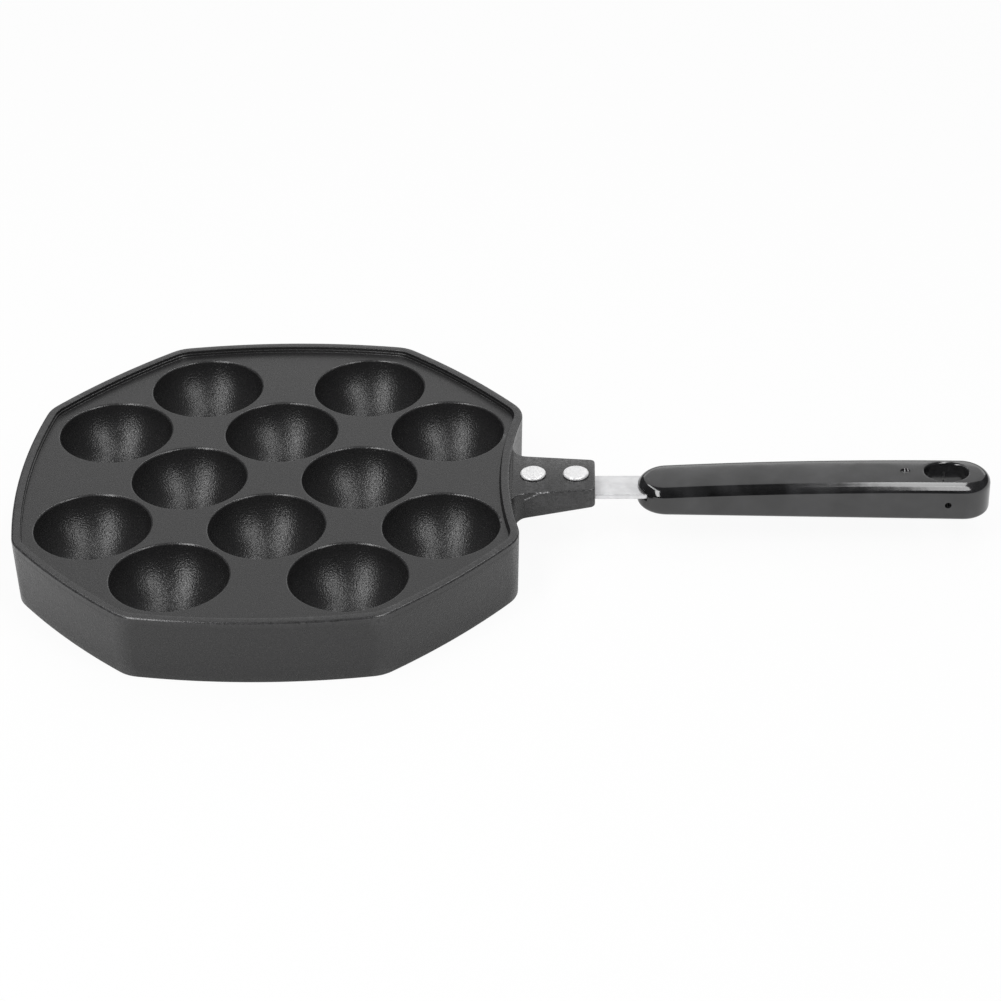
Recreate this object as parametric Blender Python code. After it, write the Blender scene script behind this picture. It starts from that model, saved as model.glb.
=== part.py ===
"""Takoyaki pan: a die-cast plate with twelve cups, riveted to a flat tang that carries a moulded grip.

Metres, +Z up. The pan stands on z = 0 and its handle points along +X. The origin is the middle of the
whole pan's box, on that plane. Under pan_frame, x = 0 and y = 0 are the middle of the cup pattern.
"""

import math

import bmesh
import bpy
import numpy as np

MM = 0.001

# Gap between pieces that touch or fit on the real pan
CLEARANCE = 0.3 * MM

# Cups, in five staggered rows
ROW_COUNTS = (2, 3, 2, 3, 2)
CUP_MOUTH_RADIUS = 21.5 * MM
CUP_LIP = 0.4 * MM
CUP_DEPTH = 20.5 * MM
CUP_WALL = 2.4 * MM
CUP_STANDOFF = 1.1 * MM
GAP_IN_ROW = 20.2 * MM
GAP_ACROSS_ROWS = 2.1 * MM

# Plate: each strip is the flat deck left between the nearest cup and the foot of the rim
STRIP_END = 4.35 * MM
STRIP_SIDE = 4.6 * MM
STRIP_DIAGONAL = 3.8 * MM
STRIP_WAIST = 0.1 * MM
DIAGONAL_ANGLE = math.radians(43.5)
BOW_RADIUS = 262.0 * MM
DIAGONAL_BOW_RADIUS = 270.0 * MM
WAIST_BOW_RADIUS = 183.0 * MM
CORNER_RADIUS = 14.0 * MM
DECK_THICKNESS = 3.0 * MM
SKIRT_WALL = 3.2 * MM
SKIRT_DRAFT = 0.8 * MM
SKIRT_FILLET = 1.5 * MM
FOOT_EDGE = 0.5 * MM

# Rim: a flat land, a drop to a narrow ledge and a second drop that runs out into the deck
RIM_RISE = 2.2 * MM
RIM_LAND = 3.1 * MM
RIM_EDGE = 0.5 * MM
RIM_STEP = 1.0 * MM
RIM_LEDGE = 0.8 * MM
RIM_SLOPE = 0.3 * MM
DECK_FILLET = 1.0 * MM

# Lug, cast in one piece with the plate and open underneath for the tang
LUG_ROOT_WIDTH = 27.8 * MM
LUG_END_WIDTH = 21.1 * MM
LUG_TOP_DROP = 1.4 * MM
LUG_WEB = 4.5 * MM
LUG_ROOT_HEIGHT = 11.7 * MM
LUG_END_HEIGHT = 7.8 * MM
LUG_FILLET = 4.5 * MM
LUG_CORNER = 1.8 * MM
LUG_EDGE = 0.6 * MM

# Tang
TANG_WIDTH = 13.4 * MM
TANG_THICKNESS = 2.0 * MM
TANG_TO_SKIRT = 2.1 * MM
TANG_SHOWING = 15.8 * MM
TANG_IN_GRIP = 72.0 * MM
TANG_CORNER = 2.0 * MM
TANG_EDGE = 0.2 * MM

# Rivets
RIVET_HEAD_RADIUS = 4.95 * MM
RIVET_HEAD_RISE = 1.1 * MM
RIVET_HEAD_EDGE = 0.35 * MM
RIVET_SHANK_RADIUS = 2.5 * MM
RIVET_TAIL_RADIUS = 4.0 * MM
RIVET_TAIL_HEIGHT = 1.1 * MM
HEAD_TO_PLATE = 3.85 * MM
HEAD_TO_HEAD = 6.1 * MM
HEAD_TO_LUG_END = 2.2 * MM

# Grip: its heights run from the middle of the tang
GRIP_LENGTH = 131.9 * MM
GRIP_WIDTH = 21.6 * MM
GRIP_TOP_FRONT = 4.1 * MM
GRIP_TOP_CROWN = 6.55 * MM
GRIP_CROWN_TO_FRONT = 89.8 * MM
GRIP_BOTTOM_FRONT = 5.9 * MM
GRIP_BOTTOM_REAR = 8.9 * MM
GRIP_TOP_EDGE = 3.3 * MM
GRIP_BOTTOM_EDGE = 2.0 * MM
MOUTH_SIDE_ROOM = 1.0 * MM
MOUTH_TOP_ROOM = 1.3 * MM
MOUTH_DEPTH = 5.0 * MM

# Hanging hole, and the small cross hole that meets it
HANG_LENGTH = 16.2 * MM
HANG_WIDTH = 12.7 * MM
HANG_LIP = 0.9 * MM
HANG_LIP_SWEEP = math.radians(60.0)
HANG_TO_REAR = 8.5 * MM
CROSS_HOLE_RADIUS = 1.2 * MM
CROSS_HOLE_DROP = 1.7 * MM

# Round dimple that the mould leaves in the top of the grip
DIMPLE_RADIUS = 1.9 * MM
DIMPLE_DEPTH = 0.3 * MM
DIMPLE_TO_HANG_HOLE = 5.3 * MM

# Screw that holds the grip to the tang, from below
SCREW_TO_FRONT = 54.0 * MM
SCREW_HEAD_RADIUS = 3.5 * MM
SCREW_HEAD_HEIGHT = 2.2 * MM
SCREW_HEAD_EDGE = 0.5 * MM
SCREW_SHANK_RADIUS = 1.8 * MM
SCREW_BITE = 3.0 * MM
SCREW_FLOOR = 2.4 * MM
DRIVE_WIDTH = 0.9 * MM
DRIVE_LENGTH = 3.8 * MM
DRIVE_DEPTH = 1.1 * MM
DRIVE_TAPER = 0.2 * MM

# Facets
CUP_STEPS = 28
CUP_RINGS = 6
SHELL_STEPS = 20
SHELL_RINGS = 5
SIDE_STEPS = 6
CORNER_STEPS = 4
ROUND_STEPS = 24
GRIP_END_STEPS = 8
GRIP_SIDE_STEPS = 8
EDGE_STEPS = 3
RIM_EDGE_STEPS = 2
SMOOTH_BELOW = math.radians(35.0)

# How far a cutting tool runs past the face that it opens, and what counts as one point
OVERRUN = 5.0 * MM
MERGE_DISTANCE = 0.001 * MM

# Places that follow from the sizes above
CUP_OPENING_RADIUS = CUP_MOUTH_RADIUS + CUP_LIP
COLUMN_SPACING = 2 * CUP_OPENING_RADIUS + GAP_IN_ROW
ROW_SPACING = math.sqrt((2 * CUP_OPENING_RADIUS + GAP_ACROSS_ROWS) ** 2 - (COLUMN_SPACING / 2) ** 2)
RIM_WIDTH = RIM_LAND + 2 * RIM_SLOPE + RIM_LEDGE + DECK_FILLET
DECK_Z = CUP_STANDOFF + CUP_WALL + CUP_DEPTH
RIM_Z = DECK_Z + RIM_RISE
CUP_SPHERE_RADIUS = (CUP_MOUTH_RADIUS**2 + CUP_DEPTH**2) / (2 * CUP_DEPTH)
CUP_CENTRE_Z = DECK_Z - CUP_DEPTH + CUP_SPHERE_RADIUS
LAST_CUP_X = COLUMN_SPACING * (max(ROW_COUNTS) - 1) / 2
LAST_CUP_Y = ROW_SPACING * (len(ROW_COUNTS) - 1) / 2
END_X = LAST_CUP_X + CUP_OPENING_RADIUS + STRIP_END + RIM_WIDTH
SIDE_Y = LAST_CUP_Y + CUP_OPENING_RADIUS + STRIP_SIDE + RIM_WIDTH
WAIST_SINK = WAIST_BOW_RADIUS - math.sqrt(WAIST_BOW_RADIUS**2 - ROW_SPACING**2)
WAIST_X = LAST_CUP_X + CUP_OPENING_RADIUS + STRIP_WAIST + RIM_WIDTH - WAIST_SINK
FRONT_RIVET_X = WAIST_X + HEAD_TO_PLATE + RIVET_HEAD_RADIUS
REAR_RIVET_X = FRONT_RIVET_X + 2 * RIVET_HEAD_RADIUS + HEAD_TO_HEAD
LUG_END_X = REAR_RIVET_X + RIVET_HEAD_RADIUS + HEAD_TO_LUG_END
LUG_TOP_Z = RIM_Z - LUG_TOP_DROP
TANG_TOP_Z = LUG_TOP_Z - LUG_WEB - CLEARANCE
TANG_Z = TANG_TOP_Z - TANG_THICKNESS / 2
TANG_START_X = WAIST_X + TANG_TO_SKIRT
GRIP_X = LUG_END_X + TANG_SHOWING
TANG_LENGTH = GRIP_X + TANG_IN_GRIP - TANG_START_X
SLOT_HALF_HEIGHT = TANG_THICKNESS / 2 + CLEARANCE
HANG_X = GRIP_LENGTH - HANG_TO_REAR - HANG_LENGTH / 2
DIMPLE_X = HANG_X - HANG_LENGTH / 2 - DIMPLE_TO_HANG_HOLE - DIMPLE_RADIUS
SCREW_SEAT = -SLOT_HALF_HEIGHT - SCREW_FLOOR
FRAME_X = -(GRIP_X + GRIP_LENGTH - END_X) / 2


def clear_scene():
    for old in list(bpy.data.objects):
        bpy.data.objects.remove(old, do_unlink=True)


def new_material(name, colour, roughness, metallic):
    material = bpy.data.materials.new(name)
    material.use_nodes = True
    shader = material.node_tree.nodes["Principled BSDF"]
    shader.inputs["Base Color"].default_value = (*colour, 1.0)
    shader.inputs["Roughness"].default_value = roughness
    shader.inputs["Metallic"].default_value = metallic
    return material


def place(name, mesh, parent, location=(0, 0, 0), collection=None):
    """Links an object under its parent. A mesh of None makes an empty."""
    placed = bpy.data.objects.new(name, mesh)
    placed.location = location
    placed.parent = parent
    (collection or bpy.context.scene.collection).objects.link(placed)
    return placed


def place_tool(name, mesh, parent, location=(0, 0, 0), collection=None):
    """Links an object that only shapes others."""
    tool = place(name, mesh, parent, location, collection)
    tool.hide_render = True
    tool.display_type = "WIRE"
    return tool


def combine(target, operation, tools):
    """Adds an exact Boolean with one tool, or with a collection of them."""
    modifier = target.modifiers.new(f"{operation.lower()}_{tools.name}", "BOOLEAN")
    modifier.operation = operation
    modifier.solver = "EXACT"
    if isinstance(tools, bpy.types.Collection):
        modifier.operand_type = "COLLECTION"
        modifier.collection = tools
    else:
        modifier.object = tools


def finish_mesh(shape, name):
    """Turns a closed bmesh into a mesh that is smooth across its gentle edges."""
    bmesh.ops.recalc_face_normals(shape, faces=shape.faces)
    mesh = bpy.data.meshes.new(name)
    shape.to_mesh(mesh)
    shape.free()
    mesh.shade_smooth()
    mesh.set_sharp_from_angle(angle=SMOOTH_BELOW)
    return mesh


def loft(name, rings, banded=False):
    """Joins closed rings of equal length with quads and closes both ends.

    A banded end is closed with strips between mirrored points, so that it can bend along X. The first
    point of its ring lies on the mirror line.
    """
    shape = bmesh.new()
    loops = [[shape.verts.new(point) for point in ring] for ring in rings]
    count = len(loops[0])
    for lower, upper in zip(loops, loops[1:]):
        for i in range(count):
            shape.faces.new((lower[i - 1], lower[i], upper[i], upper[i - 1]))
    for end in (loops[0], loops[-1]):
        if not banded:
            shape.faces.new(end)
            continue
        for i in range(count // 2):
            strip = (end[i], end[i + 1], end[-i - 1], end[-i])
            shape.faces.new(list(dict.fromkeys(strip)))
    return finish_mesh(shape, name)


def turn(name, profile, steps=ROUND_STEPS):
    """Turns (radius, z) points about Z. The profile starts and ends on the axis."""
    shape = bmesh.new()
    points = [shape.verts.new((radius, 0, z)) for radius, z in profile]
    edges = [shape.edges.new(pair) for pair in zip(points, points[1:])]
    bmesh.ops.spin(
        shape,
        geom=points + edges,
        axis=(0, 0, 1),
        cent=(0, 0, 0),
        angle=math.tau,
        steps=steps,
        use_merge=True,
    )
    bmesh.ops.remove_doubles(shape, verts=shape.verts, dist=MERGE_DISTANCE)
    return finish_mesh(shape, name)


def rod(name, radius, bottom, top):
    return turn(name, [(0, bottom), (radius, bottom), (radius, top), (0, top)])


def box(name, low, high):
    (x0, y0, z0), (x1, y1, z1) = low, high
    rings = [[(x0, y0, z), (x1, y0, z), (x1, y1, z), (x0, y1, z)] for z in (z0, z1)]
    return loft(name, rings)


def quarter(radius, steps=EDGE_STEPS, sweep=math.pi / 2):
    """Pairs that run along a quarter circle, from (0, radius) to (radius, 0), bulging to (0, 0)."""
    for angle in np.linspace(0, sweep, steps + 1):
        yield radius * (1 - math.cos(angle)), radius * (1 - math.sin(angle))


def crossing(first, first_radius, second, second_radius, outward):
    """The point where two circles cross, on the side that a vector points to."""
    line = second - first
    distance = np.linalg.norm(line)
    along = (distance**2 + first_radius**2 - second_radius**2) / (2 * distance)
    across = math.sqrt(first_radius**2 - along**2)
    unit = line / distance
    normal = np.array([-unit[1], unit[0]])
    meetings = [first + along * unit + side * across * normal for side in (1, -1)]
    return max(meetings, key=lambda point: point @ outward)


def cup_places():
    """Middles of the cups, row by row from the near side."""
    for row, count in enumerate(ROW_COUNTS):
        for column in range(count):
            yield np.array([COLUMN_SPACING * (column - (count - 1) / 2), ROW_SPACING * row - LAST_CUP_Y])


def plate_sides():
    """(unit normal, reach, bow radius) of the eight sides, anticlockwise from the handle's side.

    The side at the handle is hollow, so its bow radius is negative.
    """
    slant = np.array([math.cos(DIAGONAL_ANGLE), math.sin(DIAGONAL_ANGLE)])
    furthest_cup = max(np.abs(cup) @ slant for cup in cup_places())
    diagonal = (furthest_cup + CUP_OPENING_RADIUS + STRIP_DIAGONAL + RIM_WIDTH, DIAGONAL_BOW_RADIUS)
    side = (SIDE_Y, BOW_RADIUS)
    return [
        (np.array([1, 0]), WAIST_X, -WAIST_BOW_RADIUS),
        (slant, *diagonal),
        (np.array([0, 1]), *side),
        (slant * (-1, 1), *diagonal),
        (np.array([-1, 0]), END_X, BOW_RADIUS),
        (slant * (-1, -1), *diagonal),
        (np.array([0, -1]), *side),
        (slant * (1, -1), *diagonal),
    ]


def plate_outline():
    """Points and outward normals of the rim's outer edge, anticlockwise.

    Each side is an arc of a large circle whose middle lies on the side's normal, and each corner is an
    arc that touches both of its sides.
    """
    sides = plate_sides()
    middles = [normal * (reach - bow) for normal, reach, bow in sides]
    bows = [bow for _, _, bow in sides]
    corners = [
        crossing(
            middles[i - 1],
            abs(bows[i - 1] - CORNER_RADIUS),
            middles[i],
            abs(bows[i] - CORNER_RADIUS),
            sides[i - 1][0] + sides[i][0],
        )
        for i in range(len(sides))
    ]
    points, normals = [], []

    def add_arc(middle, bow, start, end, steps):
        """Adds an arc from one normal to another, without its last point."""
        first, last = (math.atan2(normal[1], normal[0]) for normal in (start, end))
        sweep = (last - first + math.pi) % math.tau - math.pi
        for angle in first + sweep * np.arange(steps) / steps:
            normal = np.array([math.cos(angle), math.sin(angle)])
            points.append(middle + bow * normal)
            normals.append(normal)

    for i, (middle, bow) in enumerate(zip(middles, bows)):
        following = (i + 1) % len(sides)
        before, after = corners[i], corners[following]
        start, end = (before - middle) * bow, (after - middle) * bow
        add_arc(middle, bow, start, end, SIDE_STEPS)
        corner_end = (after - middles[following]) * bows[following]
        add_arc(after, CORNER_RADIUS, end, corner_end, CORNER_STEPS)
    return np.array(points), np.array(normals)


def inset_rings(steps):
    """The plate's outline once for each (inset, z) pair."""
    points, normals = plate_outline()
    return [[(x, y, z) for x, y in points - inset * normals] for inset, z in steps]


def plate_mesh():
    """The plate as a block, from its foot over the rim to the deck."""
    step_inset = RIM_LAND + RIM_SLOPE
    fillet_inset = step_inset + RIM_LEDGE + RIM_SLOPE
    steps = [(SKIRT_DRAFT + FOOT_EDGE, 0), (SKIRT_DRAFT, FOOT_EDGE)]
    edge = list(quarter(RIM_EDGE, RIM_EDGE_STEPS))
    steps += [(inset, RIM_Z - drop) for inset, drop in edge]
    steps += [(RIM_LAND - inset, RIM_Z - drop) for inset, drop in reversed(edge)]
    steps += [(step_inset, RIM_Z - RIM_STEP), (step_inset + RIM_LEDGE, RIM_Z - RIM_STEP)]
    steps += [(fillet_inset + run, DECK_Z + rise) for run, rise in quarter(DECK_FILLET)]
    return loft("pan_casting", inset_rings(steps))


def underside_mesh():
    """The space inside the skirt, with its upper corner sloped."""
    ceiling = DECK_Z - DECK_THICKNESS
    wall = SKIRT_DRAFT + SKIRT_WALL
    steps = ((wall, -OVERRUN), (wall, ceiling - SKIRT_FILLET), (wall + SKIRT_FILLET, ceiling))
    return loft("underside", inset_rings(steps))


def bowl(radius, top, rings):
    """(radius, z) points of a bowl about a cup's middle, from its bottom up."""
    for angle in np.linspace(-math.pi / 2, math.asin((top - CUP_CENTRE_Z) / radius), rings + 1):
        yield radius * math.cos(angle), CUP_CENTRE_Z + radius * math.sin(angle)


def cup_hollow_mesh():
    profile = list(bowl(CUP_SPHERE_RADIUS, DECK_Z - CUP_LIP, CUP_RINGS))
    profile += [(CUP_OPENING_RADIUS, DECK_Z), (CUP_OPENING_RADIUS, RIM_Z), (0, RIM_Z)]
    return turn("cup_hollow", profile, CUP_STEPS)


def cup_shell_mesh():
    top = DECK_Z - DECK_THICKNESS / 2
    return turn("cup_shell", [*bowl(CUP_SPHERE_RADIUS + CUP_WALL, top, SHELL_RINGS), (0, top)], SHELL_STEPS)


def place_at_cups(name, mesh, parent):
    """A collection with one tool at each cup."""
    tools = bpy.data.collections.new(name)
    bpy.context.scene.collection.children.link(tools)
    for number, (x, y) in enumerate(cup_places(), start=1):
        place_tool(f"{mesh.name}_{number:02d}", mesh, parent, (x, y, 0), tools)
    return tools


def lug_flare(x, wall_x):
    """How far a hollow fillet that starts at a wall still stands out at x."""
    left = min(max(wall_x + LUG_FILLET - x, 0), LUG_FILLET)
    return LUG_FILLET - math.sqrt(LUG_FILLET**2 - left**2)


def lug_ring(x, side_wall_x):
    """The lug's cross section at x."""
    share = (x - WAIST_X) / (LUG_END_X - WAIST_X)
    width = LUG_ROOT_WIDTH + (LUG_END_WIDTH - LUG_ROOT_WIDTH) * share
    height = LUG_ROOT_HEIGHT + (LUG_END_HEIGHT - LUG_ROOT_HEIGHT) * share + lug_flare(x, WAIST_X)
    past_corner = max(x - LUG_END_X + LUG_CORNER, 0)
    corner = LUG_CORNER - math.sqrt(LUG_CORNER**2 - past_corner**2)
    side = width / 2 + lug_flare(x, side_wall_x) - corner
    bottom = LUG_TOP_Z - height
    half = [
        (side - LUG_EDGE, bottom),
        (side, bottom + LUG_EDGE),
        (side, LUG_TOP_Z - LUG_EDGE),
        (side - LUG_EDGE, LUG_TOP_Z),
    ]
    return [(x, y, z) for y, z in half] + [(x, -y, z) for y, z in reversed(half)]


def lug_mesh():
    """The lug, from inside the skirt to its end, with fillets where it leaves the skirt."""
    fillet_y = LUG_ROOT_WIDTH / 2 + LUG_FILLET
    side_wall_x = WAIST_X + WAIST_BOW_RADIUS - math.sqrt(WAIST_BOW_RADIUS**2 - fillet_y**2)
    stations = [WAIST_X - SKIRT_WALL / 2, WAIST_X]
    stations += [side_wall_x + inset for inset, _ in quarter(LUG_FILLET, CORNER_STEPS)]
    stations += sorted(LUG_END_X - inset for inset, _ in quarter(LUG_CORNER, CORNER_STEPS))
    return loft("lug", [lug_ring(x, side_wall_x) for x in stations])


def add_casting(frame, material):
    casting = place("pan_casting", plate_mesh(), frame)
    casting.data.materials.append(material)
    combine(casting, "DIFFERENCE", place_tool("underside", underside_mesh(), frame))
    combine(casting, "UNION", place_at_cups("cup_shells", cup_shell_mesh(), frame))
    combine(casting, "DIFFERENCE", place_at_cups("cup_hollows", cup_hollow_mesh(), frame))
    combine(casting, "UNION", place_tool("lug", lug_mesh(), frame))
    channel_side = TANG_WIDTH / 2 + CLEARANCE
    channel = box(
        "tang_channel",
        (TANG_START_X - CLEARANCE, -channel_side, 0),
        (LUG_END_X + OVERRUN, channel_side, TANG_TOP_Z + CLEARANCE),
    )
    combine(casting, "DIFFERENCE", place_tool("tang_channel", channel, frame))
    return casting


def rounded_bar(name, length, width, thickness, corner, edge):
    """A flat bar along +X from x = 0, about z = 0, with round corners and broken edges."""
    half = thickness / 2
    rings = []
    for inset, z in ((edge, -half), (0, edge - half), (0, half - edge), (edge, half)):
        radius = corner - inset
        ring = []
        for turns, (x_side, y_side) in enumerate(((1, 1), (-1, 1), (-1, -1), (1, -1))):
            x = length / 2 + x_side * (length / 2 - corner)
            y = y_side * (width / 2 - corner)
            for angle in math.pi / 2 * (turns + np.linspace(0, 1, CORNER_STEPS + 1)):
                ring.append((x + radius * math.cos(angle), y + radius * math.sin(angle), z))
        rings.append(ring)
    return loft(name, rings)


def add_tang(frame, material):
    mesh = rounded_bar("handle_tang", TANG_LENGTH, TANG_WIDTH, TANG_THICKNESS, TANG_CORNER, TANG_EDGE)
    tang = place("handle_tang", mesh, frame, (TANG_START_X, 0, TANG_Z))
    tang.data.materials.append(material)
    return tang


def rivet_mesh():
    """A rivet whose head sits on z = 0, with its shank and its upset tail below."""
    tail_top = -CLEARANCE - LUG_WEB - CLEARANCE - TANG_THICKNESS - CLEARANCE
    tail_bottom = tail_top - RIVET_TAIL_HEIGHT
    dome_rise = RIVET_HEAD_RISE - RIVET_HEAD_EDGE
    dome_radius = (RIVET_HEAD_RADIUS**2 + dome_rise**2) / (2 * dome_rise)
    half_angle = math.asin(RIVET_HEAD_RADIUS / dome_radius)
    dome = [
        (dome_radius * math.sin(angle), RIVET_HEAD_RISE - dome_radius * (1 - math.cos(angle)))
        for angle in np.linspace(0, half_angle, CORNER_STEPS + 1)
    ]
    return turn(
        "rivet",
        [
            *dome,
            (RIVET_HEAD_RADIUS, 0),
            (RIVET_SHANK_RADIUS, 0),
            (RIVET_SHANK_RADIUS, tail_top),
            (RIVET_TAIL_RADIUS, tail_top),
            (RIVET_TAIL_RADIUS, tail_bottom + RIVET_HEAD_EDGE),
            (RIVET_TAIL_RADIUS - RIVET_HEAD_EDGE, tail_bottom),
            (0, tail_bottom),
        ],
    )


def add_rivets(frame, casting, tang, material):
    """Two rivets through the lug's web and the tang, each with its own drilled hole."""
    mesh = rivet_mesh()
    mesh.materials.append(material)
    drill = rod("rivet_drill", RIVET_SHANK_RADIUS + CLEARANCE, TANG_Z - OVERRUN, LUG_TOP_Z + OVERRUN)
    for end, x in (("front", FRONT_RIVET_X), ("rear", REAR_RIVET_X)):
        place(f"rivet_{end}", mesh, frame, (x, 0, LUG_TOP_Z + CLEARANCE))
        hole = place_tool(f"rivet_drill_{end}", drill, frame, (x, 0, 0))
        combine(casting, "DIFFERENCE", hole)
        combine(tang, "DIFFERENCE", hole)


def grip_top(x):
    """Height of the grip's arched back, x from the front of the grip."""
    fall = (GRIP_TOP_CROWN - GRIP_TOP_FRONT) / GRIP_CROWN_TO_FRONT**2
    return GRIP_TOP_CROWN - fall * (x - GRIP_CROWN_TO_FRONT) ** 2


def grip_bottom(x):
    return -GRIP_BOTTOM_FRONT - (GRIP_BOTTOM_REAR - GRIP_BOTTOM_FRONT) * x / GRIP_LENGTH


def grip_ring(inset, height, face):
    """The grip's plan, a long oval with round ends, at a height over its top or bottom face."""
    radius = GRIP_WIDTH / 2 - inset
    front, rear = GRIP_WIDTH / 2, GRIP_LENGTH - GRIP_WIDTH / 2
    angles = np.linspace(0, math.pi / 2, GRIP_END_STEPS + 1)
    half = [(front - radius * math.cos(a), radius * math.sin(a)) for a in angles]
    half += [(x, radius) for x in np.linspace(front, rear, GRIP_SIDE_STEPS + 1)[1:-1]]
    half += [(rear + radius * math.sin(a), radius * math.cos(a)) for a in angles]
    mirrored = [(x, -y) for x, y in half[-2:0:-1]]
    return [(x, y, face(x) + height) for x, y in half + mirrored]


def grip_mesh():
    bottom_edge = reversed(list(quarter(GRIP_BOTTOM_EDGE)))
    top_edge = quarter(GRIP_TOP_EDGE, CORNER_STEPS)
    rings = [grip_ring(inset, drop, grip_bottom) for inset, drop in bottom_edge]
    rings += [grip_ring(inset, -drop, grip_top) for inset, drop in top_edge]
    return loft("handle_grip", rings, banded=True)


def hang_ring(outset, height, face):
    """The hanging hole's oval, at a height over the grip's top or bottom face."""
    angles = math.tau * np.arange(ROUND_STEPS) / ROUND_STEPS
    half_length, half_width = HANG_LENGTH / 2 + outset, HANG_WIDTH / 2 + outset
    ring = [(HANG_X + half_length * math.cos(a), half_width * math.sin(a)) for a in angles]
    return [(x, y, face(x) + height) for x, y in ring]


def hang_hole_mesh():
    """An oval tube that widens at both ends, so that it leaves rounded lips."""
    lip = list(quarter(HANG_LIP, RIM_EDGE_STEPS, HANG_LIP_SWEEP))
    lip.append((lip[-1][0] + HANG_LIP, lip[-1][1] - HANG_LIP / 2))
    rings = [hang_ring(outset, drop, grip_bottom) for outset, drop in reversed(lip)]
    rings += [hang_ring(outset, -drop, grip_top) for outset, drop in lip]
    return loft("hang_hole", rings, banded=True)


def add_grip(frame, material):
    grip = place("handle_grip", grip_mesh(), frame, (GRIP_X, 0, TANG_Z))
    grip.data.materials.append(material)
    slot_side = TANG_WIDTH / 2 + CLEARANCE
    slot = box(
        "tang_slot",
        (-OVERRUN, -slot_side, -SLOT_HALF_HEIGHT),
        (TANG_IN_GRIP + CLEARANCE, slot_side, SLOT_HALF_HEIGHT),
    )
    mouth_side = slot_side + MOUTH_SIDE_ROOM
    mouth = box(
        "slot_mouth",
        (-OVERRUN, -mouth_side, -SLOT_HALF_HEIGHT),
        (MOUTH_DEPTH, mouth_side, SLOT_HALF_HEIGHT + MOUTH_TOP_ROOM),
    )
    combine(grip, "DIFFERENCE", place_tool("tang_slot", slot, grip))
    combine(grip, "DIFFERENCE", place_tool("slot_mouth", mouth, grip))
    combine(grip, "DIFFERENCE", place_tool("hang_hole", hang_hole_mesh(), grip))
    cross_hole = rod("cross_hole", CROSS_HOLE_RADIUS, -GRIP_WIDTH, GRIP_WIDTH)
    cross_tool = place_tool("cross_hole", cross_hole, grip, (HANG_X, 0, -CROSS_HOLE_DROP))
    cross_tool.rotation_euler.x = math.pi / 2
    combine(grip, "DIFFERENCE", cross_tool)
    dimple = rod("mould_dimple", DIMPLE_RADIUS, grip_top(DIMPLE_X) - DIMPLE_DEPTH, GRIP_TOP_CROWN + OVERRUN)
    combine(grip, "DIFFERENCE", place_tool("mould_dimple", dimple, grip, (DIMPLE_X, 0, 0)))
    return grip


def drive_ring(half_width, half_length, z):
    """A cross, seen from below the screw."""
    arm = [(half_length, -half_width), (half_length, half_width), (half_width, half_width)]
    ring = []
    for cos, sin in ((1, 0), (0, 1), (-1, 0), (0, -1)):
        ring += [(x * cos - y * sin, x * sin + y * cos, z) for x, y in arm]
    return ring


def add_screw(grip, tang, material):
    """A pan-head screw from below: its head seats in the grip, its shank passes the tang."""
    head_top = -CLEARANCE
    head_bottom = head_top - SCREW_HEAD_HEIGHT
    shank_top = SLOT_HALF_HEIGHT + SCREW_BITE - SCREW_SEAT
    mesh = turn(
        "grip_screw",
        [
            (0, shank_top),
            (SCREW_SHANK_RADIUS - SCREW_HEAD_EDGE, shank_top),
            (SCREW_SHANK_RADIUS, shank_top - SCREW_HEAD_EDGE),
            (SCREW_SHANK_RADIUS, head_top),
            (SCREW_HEAD_RADIUS, head_top),
            (SCREW_HEAD_RADIUS, head_bottom + SCREW_HEAD_EDGE),
            (SCREW_HEAD_RADIUS - SCREW_HEAD_EDGE, head_bottom),
            (0, head_bottom),
        ],
    )
    screw = place("grip_screw", mesh, grip, (SCREW_TO_FRONT, 0, SCREW_SEAT))
    screw.data.materials.append(material)
    drive_end = head_bottom + DRIVE_DEPTH
    drive = loft(
        "screw_drive",
        [
            drive_ring(DRIVE_WIDTH / 2, DRIVE_LENGTH / 2, head_bottom - CLEARANCE),
            drive_ring(DRIVE_WIDTH / 2 - DRIVE_TAPER / 2, DRIVE_LENGTH / 2 - DRIVE_TAPER, drive_end),
        ],
    )
    combine(screw, "DIFFERENCE", place_tool("screw_drive", drive, screw))
    hole_radius = SCREW_SHANK_RADIUS + CLEARANCE
    hole = rod("screw_hole", hole_radius, -OVERRUN, shank_top + CLEARANCE)
    hole_tool = place_tool("screw_hole", hole, screw)
    combine(tang, "DIFFERENCE", hole_tool)
    combine(grip, "DIFFERENCE", hole_tool)
    well = rod("screw_well", SCREW_HEAD_RADIUS + CLEARANCE, -GRIP_BOTTOM_REAR - OVERRUN, 0)
    combine(grip, "DIFFERENCE", place_tool("screw_well", well, screw))


def main():
    clear_scene()
    coating = new_material("nonstick_coating", (0.035, 0.035, 0.037), 0.5, 0.0)
    steel = new_material("plated_steel", (0.62, 0.62, 0.63), 0.3, 1.0)
    aluminium = new_material("rivet_aluminium", (0.86, 0.86, 0.87), 0.35, 1.0)
    plastic = new_material("grip_plastic", (0.02, 0.02, 0.022), 0.22, 0.0)
    screw_steel = new_material("screw_steel", (0.55, 0.55, 0.57), 0.35, 1.0)
    frame = place("pan_frame", None, None, (FRAME_X, 0, 0))
    casting = add_casting(frame, coating)
    tang = add_tang(frame, steel)
    add_rivets(frame, casting, tang, aluminium)
    grip = add_grip(frame, plastic)
    add_screw(grip, tang, screw_steel)


main()
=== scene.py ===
"""Looks of a takoyaki pan: a coated cast plate with twelve cups, a riveted tang and a glossy moulded grip.

Lengths are in metres. X runs along the handle, Y across it and Z up out of the cups.
"""

import itertools
import math

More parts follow.
